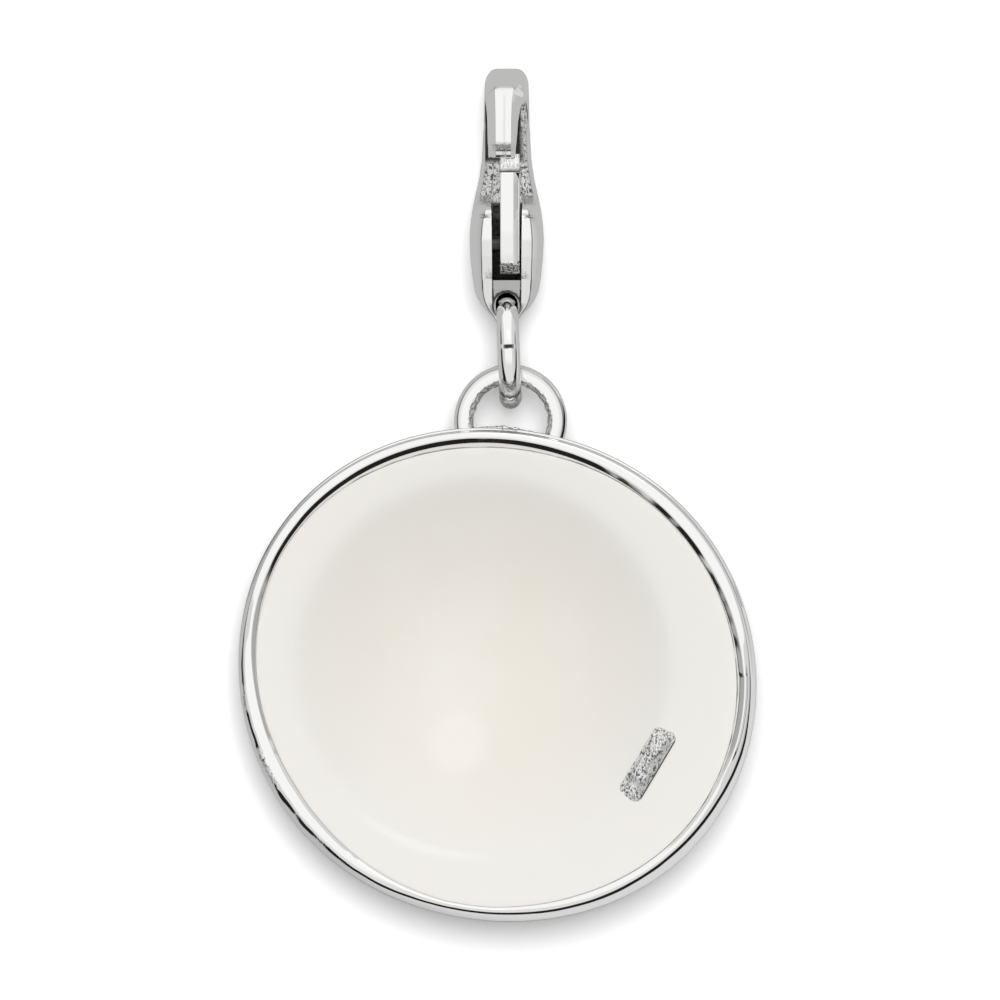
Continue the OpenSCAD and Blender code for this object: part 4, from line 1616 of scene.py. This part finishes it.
    def cast_share(self, points: Array) -> Array:
        """Where the polishing wheel didn't reach: the opening, the channel and the bar's end.

        Args:
            points: places from the tail hole's middle in mm, shaped (points, 3).

        Returns:
            Shares from 0 to 1, one for each point.
        """
        x, y, z = points.T
        in_opening = smooth(4.06, 4.16, y) * smooth(9.0, 8.8, y)
        edge = np.interp(y, self.body_rows[:, 0], self.body_rows[:, 2])
        level = np.interp(y, self.body_rows[:, 0], self.body_rows[:, 4])
        facing_in = smooth(0.62, 0.86, z) * smooth(level + 0.5, level + 0.2, z)
        rough = in_opening * facing_in * smooth(edge + 0.02, edge - 0.04, np.abs(x))
        channel = smooth(0.64, 0.60, np.abs(x)) * smooth(4.1, 3.8, z) * smooth(1.06, 1.14, y)
        saddle = 0.18 * smooth(0.62, 0.56, np.abs(x)) * smooth(0.55, 0.65, y)
        saddle = saddle * smooth(1.12, 1.06, y)
        bar_end = 0.5 * smooth(6.54, 6.48, y) * smooth(6.22, 6.27, y) * smooth(4.0, 4.1, z)
        shares = [rough, saddle, channel * smooth(3.8, 3.5, y), bar_end * smooth(5.7, 5.9, y)]
        return np.clip(np.max(shares, axis=0), 0, 1)

    def shade_and_reflection_share(self, points: Array) -> Array:
        """Painted shade in the channel, the tail hole, on the saddle, in the slot under the bar
        and in a crease, and painted dark reflection lines along the facets' edges and across the
        fold.

        Args:
            points: places from the tail hole's middle in mm, shaped (points, 3).

        Returns:
            Shares from 0 to 1, one for each point.
        """
        x, y, z = points.T
        deep = smooth(0.63, 0.61, np.abs(x)) * smooth(3.9, 2.6, z) * smooth(1.04, 1.10, y)
        deep = deep * smooth(4.3, 4.1, y) * smooth(0.9, 1.2, z)
        hole = smooth(self.hole_r + 0.02, self.hole_r + 0.005, np.hypot(x, y)) * smooth(3.4, 3.1, z)
        saddle = smooth(0.60, 0.57, np.abs(x)) * smooth(-0.2, 0.0, y) * smooth(1.10, 1.07, y)
        saddle = saddle * smooth(2.6, 2.75, z)
        crease = bell(y, 8.77, 0.035) * smooth(4.2, 4.3, z)
        crease = crease * smooth(0.44, 0.38, np.abs(x + 0.09))
        line, level = (np.interp(y, self.body_rows[:, 0], self.body_rows[:, k]) for k in (2, 5))
        line = 0.5 * bell(np.abs(x), line, 0.02) * smooth(level - 0.07, level - 0.03, z)
        line = line * smooth(-0.6, -0.3, y) * smooth(3.9, 3.7, y)
        beside = np.abs(np.abs(x) - 0.84)
        cross = bell(np.abs(y - 3.60), 0.55 * beside, 0.028)
        cross = cross * smooth(0.17, 0.12, beside) * smooth(3.9, 4.1, z)
        under_bar = smooth(0.60, 0.56, x) * smooth(-0.90, -0.86, x) * smooth(5.7, 6.0, y)
        under_bar = under_bar * smooth(8.8, 8.4, y) * smooth(1.4, 1.2, z) * smooth(0.8, 0.9, z)
        # Painted shade and painted dark reflection lines, each at its strength.
        shares = [0.95 * deep, 0.95 * hole, 0.97 * under_bar, 0.6 * crease, 0.42 * saddle, line,
                  0.9 * cross]
        return np.clip(np.max(shares, axis=0), 0, 1)


@dataclass
class ClaspLever:
    """The lever: its side outline carried across, with round edges and a bevel on the right."""

    body: ClaspBody
    width: float = 0.8
    x: float = 0.13
    bevel: float = 0.27
    edge_r: float = 0.04
    # Outline from the gate's tip over the back to the heel, from the tail hole's middle
    # in mm: reach, height, cut of the corner.
    outline_rows: Array = field(
        default_factory=lambda: table(
            (6.14, 3.14, 0.05), (6.14, 3.48, 0.08), (5.42, 3.50, 0.02), (5.37, 4.08, 0.035),
            (3.13, 4.30, 0.12), (1.74, 4.02, 0.10), (1.27, 3.46, 0.08), (1.26, 3.18, 0.08),
            (1.80, 2.55, 0.20), (2.10, 2.20, 0.30), (2.52, 2.08, 0.40), (3.05, 2.22, 0.40),
            (3.45, 2.95, 0.20), (3.60, 3.13, 0.10),
        )
    )

    def outline(self) -> tuple[Array, Array]:
        """Rounded outline with each of its sides halved twice, and where inwards is.

        Returns:
            Points (reach, height) and unit vectors, each shaped (points, 2).
        """
        line = rounded(self.outline_rows[None, :, :2], self.outline_rows[:, 2], 6)[0]
        for _ in range(2):
            halves = (line + np.roll(line, -1, axis=0)) / 2
            line = np.stack([line, halves], axis=1).reshape(-1, 2)
        ahead, behind = np.roll(line, -1, axis=0), np.roll(line, 1, axis=0)
        along = unit(ahead - behind)
        inward = stacked(-along[:, 1], along[:, 0])
        area = np.sum(line[:, 0] * ahead[:, 1] - ahead[:, 0] * line[:, 1])
        return line, inward * (1 if area > 0 else -1)

    def skin(self) -> Skin:
        """Outline in the upright plane, drawn in near both sides to round the edges.

        Near a side the outline is drawn in by r (1 - cos) while the place across goes
        by r sin. On the right the top also falls away in a bevel.

        Returns:
            The skin, with its shares of cast skin and of painted shade.
        """
        fine, inward = self.outline()
        half, r = self.width / 2, self.edge_r
        bend = np.radians(np.linspace(0, 90, 5))
        near, far = r * (1 - np.sin(bend)), r * (1 - np.sin(bend[::-1]))
        middle = np.linspace(-half + r, half - r, 26)[1:-1]
        xs = np.concatenate([-half + near, middle, half - far])
        inset = np.concatenate([far, 0 * middle, near])
        rows = fine[None] + inward[None] * inset[:, None, None]
        up = smooth(0.55, 0.85, -inward[:, 1]) * smooth(3.4, 3.7, fine[:, 1])
        past = np.maximum(xs - (half - self.bevel), 0)
        drop = 0.62 * past[:, None] * up[None]
        z = rows[..., 1] - drop
        points = stacked(self.x + xs[:, None], rows[..., 0], z)
        rough_end = smooth(1.80, 1.66, points[..., 1]) * smooth(2.9, 3.3, z)
        tongue = smooth(5.40, 5.46, points[..., 1])
        bumps = 0.03 * Grain(61, 0.13).at(points) * np.maximum(rough_end, 0.6 * tongue)
        points[..., 2] += bumps
        points[..., 1] += 0.6 * bumps
        made = capped(points + self.body.origin)
        side = smooth(half - 0.01, half, np.abs(points[..., 0] - self.x))
        cast = np.clip(np.maximum(np.maximum(rough_end, 0.4 * tongue), 0.3 * side), 0, 1)
        made.cast = np.concatenate([cast.reshape(-1), [0.3, 0.3]])
        # Painted shade in the corner where the tongue meets the lever's back.
        corner = smooth(5.33, 5.37, points[..., 1]) * smooth(5.46, 5.43, points[..., 1])
        made.painted_shade_and_reflection = np.append((0.9 * corner * smooth(4.06, 3.95, z)).reshape(-1), [0.3, 0.3])
        return made


@dataclass
class LeverPin:
    """The rivet: a wire across the cheeks with slightly domed, filed ends."""

    r: float = 0.32
    # From the middle to an end: share of the half length, and share of the radius.
    rows: Array = field(
        default_factory=lambda: table(
            (0.4, 1.0), (0.6, 1.0), (0.94, 1.0), (0.97, 0.99), (0.985, 0.92), (0.996, 0.75),
            (1.0, 0.4),
        )
    )

    def skin(self) -> Skin:
        """A profile of radius against place across, turned round the rivet's axis.

        Returns:
            The skin, with its share of painted shade.
        """
        low, high = (np.array(corner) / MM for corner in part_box("lever_pin"))
        half = (high[0] - low[0]) / 2
        profile = np.concatenate([self.rows[::-1] * [-1, 1], [(0.0, 1.0)], self.rows])
        place, radii = half * profile[:, :1], self.r * profile[:, 1:]
        loops = stacked(place, *polar(radii, circle(64)[None, :]))
        middle = (low + high) / 2
        end = np.array([half * 1.004, 0.0, 0.0])
        made = loft(loops + middle, middle - end, middle + end)
        # Painted shade on the part between the cheeks.
        made.painted_shade_and_reflection = 0.95 * smooth(0.9, 0.7, np.abs(made.points[:, 0] - middle[0]))
        return made


# Light, table and camera


@dataclass(frozen=True)
class WhiteTent:
    """White tent round the table: what the silver mirrors in each direction.

    The ceiling is a long pale panel that runs up and down the picture, brighter
    towards the clasp, where a soft box hangs. Greyer walls stand on both sides of it,
    and the tent's open front, round the bottom of the picture, is dark below its edge.
    The tent's cloth lights matte surfaces less than the lamp does.
    """

    ceiling: float = 0.82
    ceiling_near_clasp: float = 1.04
    soft_box: float = 2.2
    soft_box_at: tuple[float, float] = (79.0, 33.0)
    soft_box_reach: tuple[float, float] = (11.0, 9.0)
    # Direction towards the clasp, and where along it the ceiling gets brighter.
    clasp_side: tuple[float, float] = (90.0, 68.0)
    clasp_side_steps: tuple[float, float] = (-0.22, 0.14)
    # Direction of each wall, and the leans at which its upper and its lower part begin.
    walls: tuple[tuple[float, float, float], ...] = ((0.0, 33.0, 62.0), (180.0, 42.0, 64.0))
    wall_tones: tuple[float, float] = (0.74, 0.44)
    wall_blur: float = 0.02
    openings: tuple[float, ...] = (228.0, 300.0)
    opening_lean: float = 23.0
    opening_tone: float = 0.015
    opening_blur: float = 0.04
    diffuse_share: float = 0.66
    seen_colour: str = "#F7F7F7"

    def share(self, nodes: Nodes, axis: Vector, low: float, high: float) -> Socket:
        """Smooth step of the dot product of the mirrored direction with an axis.

        Args:
            nodes: the world's nodes.
            axis: the axis.
            low: the product below which the share is 0.
            high: the product above which it is 1.

        Returns:
            The socket with the share.
        """
        way = nodes.add("TexCoord").outputs["Generated"]
        return nodes.ranged(nodes.dot(way, axis), (low, high), kind="SMOOTHSTEP")

    def level(self, nodes: Nodes) -> float | Socket:
        """Brightness in each direction: the ceiling, blended towards each part in turn.

        Args:
            nodes: the world's nodes.

        Returns:
            The socket with the brightness.
        """
        box_low, box_high = (math.cos(math.radians(reach)) for reach in self.soft_box_reach)
        parts = [
            (self.ceiling_near_clasp, toward(*self.clasp_side), *self.clasp_side_steps),
            (self.soft_box, toward(*self.soft_box_at), box_low, box_high),
        ]
        for turn, *leans in self.walls:
            for lean, tone in zip(leans, self.wall_tones):
                edge = math.sin(math.radians(lean))
                blur = self.wall_blur
                parts.append((tone, toward(turn, 90), edge - blur, edge + blur))
        slope = math.tan(math.radians(self.opening_lean))
        for turn in self.openings:
            below = Vector((0.0, 0.0, -1.0)) + slope * toward(turn, 90)
            parts.append((self.opening_tone, below, 0.0, self.opening_blur))
        bright = self.ceiling
        for tone, axis, low, high in parts:
            bright = nodes.mix(self.share(nodes, axis, low, high), bright, tone)
        return bright

    def hang(self) -> None:
        """Makes the tent the scene's world light."""
        world = bpy.data.worlds.new("tent")
        nodes = Nodes(world)
        ray = nodes.add("LightPath").outputs
        soft = nodes.ranged(ray["Is Diffuse Ray"], (0.0, 1.0), (1.0, self.diffuse_share))
        strength = nodes.maths("MULTIPLY", self.level(nodes), soft)
        seen = nodes.add("Background", {"Color": linear(self.seen_colour), "Strength": 1.0})
        lit = nodes.add("Background", {"Color": linear("#FFFFFF"), "Strength": strength})
        both = nodes.add("MixShader", {
            0: ray["Is Camera Ray"], 1: lit.outputs[0], 2: seen.outputs[0]
        })
        nodes.add("OutputWorld", {"Surface": both.outputs[0]})
        bpy.context.scene.world = world


@dataclass
class Studio:
    """White table under a camera that looks straight down, with one soft lamp."""

    camera_height_mm: float = 700.0
    sensor_mm: float = 36.0
    clip_m: tuple[float, float] = (0.01, 10.0)
    photo_px: int = 1000
    mm_per_px: float = 0.0405
    # Where the middle of the charm's box stands in the picture, and the height over the
    # table at which a pixel covers mm_per_px.
    middle_px: tuple[float, float] = (497.0, 494.75)
    measured_mm: float = 3.0
    table_r_mm: float = 1500.0
    table_t_mm: float = 4.0
    # The lamp's place and width in metres.
    lamp_at: tuple[float, float, float] = (0.02, 0.115, 0.58)
    lamp_d: float = 0.30
    lamp_watts: float = 1.80

    def camera(self) -> None:
        """Camera over the middle of the photograph, looking straight down with +Y up.

        Its focal length is sensor width * distance / width of what the picture covers.
        """
        lens = bpy.data.cameras.new("camera")
        lens.sensor_width = self.sensor_mm
        distance = self.camera_height_mm - self.measured_mm
        lens.lens = lens.sensor_width * distance / (self.photo_px * self.mm_per_px)
        lens.clip_start, lens.clip_end = self.clip_m
        eye = bpy.data.objects.new("camera", lens)
        half = self.photo_px / 2
        x = (half - self.middle_px[0]) * self.mm_per_px
        y = (self.middle_px[1] - half) * self.mm_per_px
        eye.location = Vector((x, y, self.camera_height_mm)) * MM
        bpy.context.scene.collection.objects.link(eye)
        bpy.context.scene.camera = eye

    def table(self, finish: bpy.types.Material) -> None:
        """Round white table top at the height on which the charm lies.

        Args:
            finish: its material.
        """
        rim = stacked(*polar(self.table_r_mm, circle(96)), 0.0)
        loops = np.stack([rim * 0.02, rim * 0.2, rim])
        below = np.array([0.0, 0.0, -self.table_t_mm])
        skin = loft(np.concatenate([loops, loops[::-1] + below]), np.zeros(3), below)
        top = make_object("table", skin)
        top.data.shade_flat()
        top.data.materials.append(finish)

    def lamps(self) -> None:
        """A large soft lamp near the clasp that lifts the table to white, unseen in the silver."""
        lamp = bpy.data.lights.new("key", "AREA")
        lamp.shape, lamp.size = "DISK", self.lamp_d
        lamp.energy = self.lamp_watts
        key = bpy.data.objects.new("key", lamp)
        key.location = self.lamp_at
        key.rotation_euler = (-key.location).to_track_quat("-Z", "Y").to_euler()
        key.visible_glossy = False
        key.visible_camera = False
        bpy.context.scene.collection.objects.link(key)

    def colours(self) -> None:
        """Plain view transform, so that white stays white."""
        view = bpy.context.scene.view_settings
        view.view_transform, view.look = "Standard", "None"
        view.exposure, view.gamma = 0.0, 1.0


# The whole charm


class Charm:
    """Builds every piece, gives it its finish and ties it to its body."""

    def __init__(self) -> None:
        """Makes the finishes and the shapes that the pieces share."""
        self.silver = RhodiumSilver().material()
        self.enamel = WhiteEnamel().material()
        self.rivet = FiledRivet().material()
        self.form = DishForm()
        self.clasp = ClaspBody()

    def add(self, name: str, skin: Skin, finish: bpy.types.Material, slot: Slot, node: str,
            body: Body = Body.CHARM) -> bpy.types.Object:
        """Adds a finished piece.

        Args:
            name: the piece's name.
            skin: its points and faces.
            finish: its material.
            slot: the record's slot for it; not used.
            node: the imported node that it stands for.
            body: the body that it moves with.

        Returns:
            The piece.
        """
        piece = make_object(name, skin)
        piece.data.materials.append(finish)
        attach(piece, body)
        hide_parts(node)
        log.info("%s: %d faces", name, len(piece.data.polygons))
        return piece

    def build_dish(self) -> None:
        """Dish with its rim, tablet, enamel, bail and solder."""
        bail = Bail(self.form)
        for name, skin in (
            ("dish_shell", Dish(self.form).shell()),
            ("dish_tablet", Tablet(self.form).skin()),
            ("dish_bail", bail.skin()),
            ("dish_solder", bail.solder()),
        ):
            self.add(name, skin, self.silver, Slot.SILVER, "dish")
        self.add("enamel_skin", Enamel(self.form).skin(), self.enamel, Slot.ENAMEL, "enamel")

    def build_clasp(self) -> None:
        """Jump ring, clasp, lever and rivet.

        The casting is carved and gets its shares in its own place, with the tail hole's
        middle at the origin, and is then moved to where it lies.
        """
        self.add("jump_ring_wire", JumpRing().skin(), self.silver, Slot.SILVER, "jump_ring")
        clasp = self.clasp
        piece = self.add("clasp_casting", clasp.skin(), self.silver, Slot.SILVER, "clasp_body")
        carve(piece, clasp.cutters(), 40)
        local = points_of(piece)
        set_share(piece, "cast", clasp.cast_share(local))
        # Painted shade and painted dark reflection lines on the casting.
        set_share(piece, "painted_shade_and_reflection", clasp.shade_and_reflection_share(local))
        piece.data.vertices.foreach_set("co", ((local + clasp.origin) * MM).ravel())
        self.add("clasp_lever_casting", ClaspLever(clasp).skin(), self.silver, Slot.SILVER,
                 "clasp_lever", Body.LEVER)
        self.add("lever_rivet", LeverPin().skin(), self.rivet, Slot.RIVET, "lever_pin")


def main() -> None:
    """Builds the charm, its light, its table and its camera."""
    logging.basicConfig(level=logging.INFO, format="%(name)s: %(message)s")
    studio = Studio()
    studio.camera()
    studio.colours()
    WhiteTent().hang()
    studio.lamps()
    studio.table(WhiteTable().material())
    charm = Charm()
    charm.build_dish()
    charm.build_clasp()


if __name__ == "__main__":
    main()
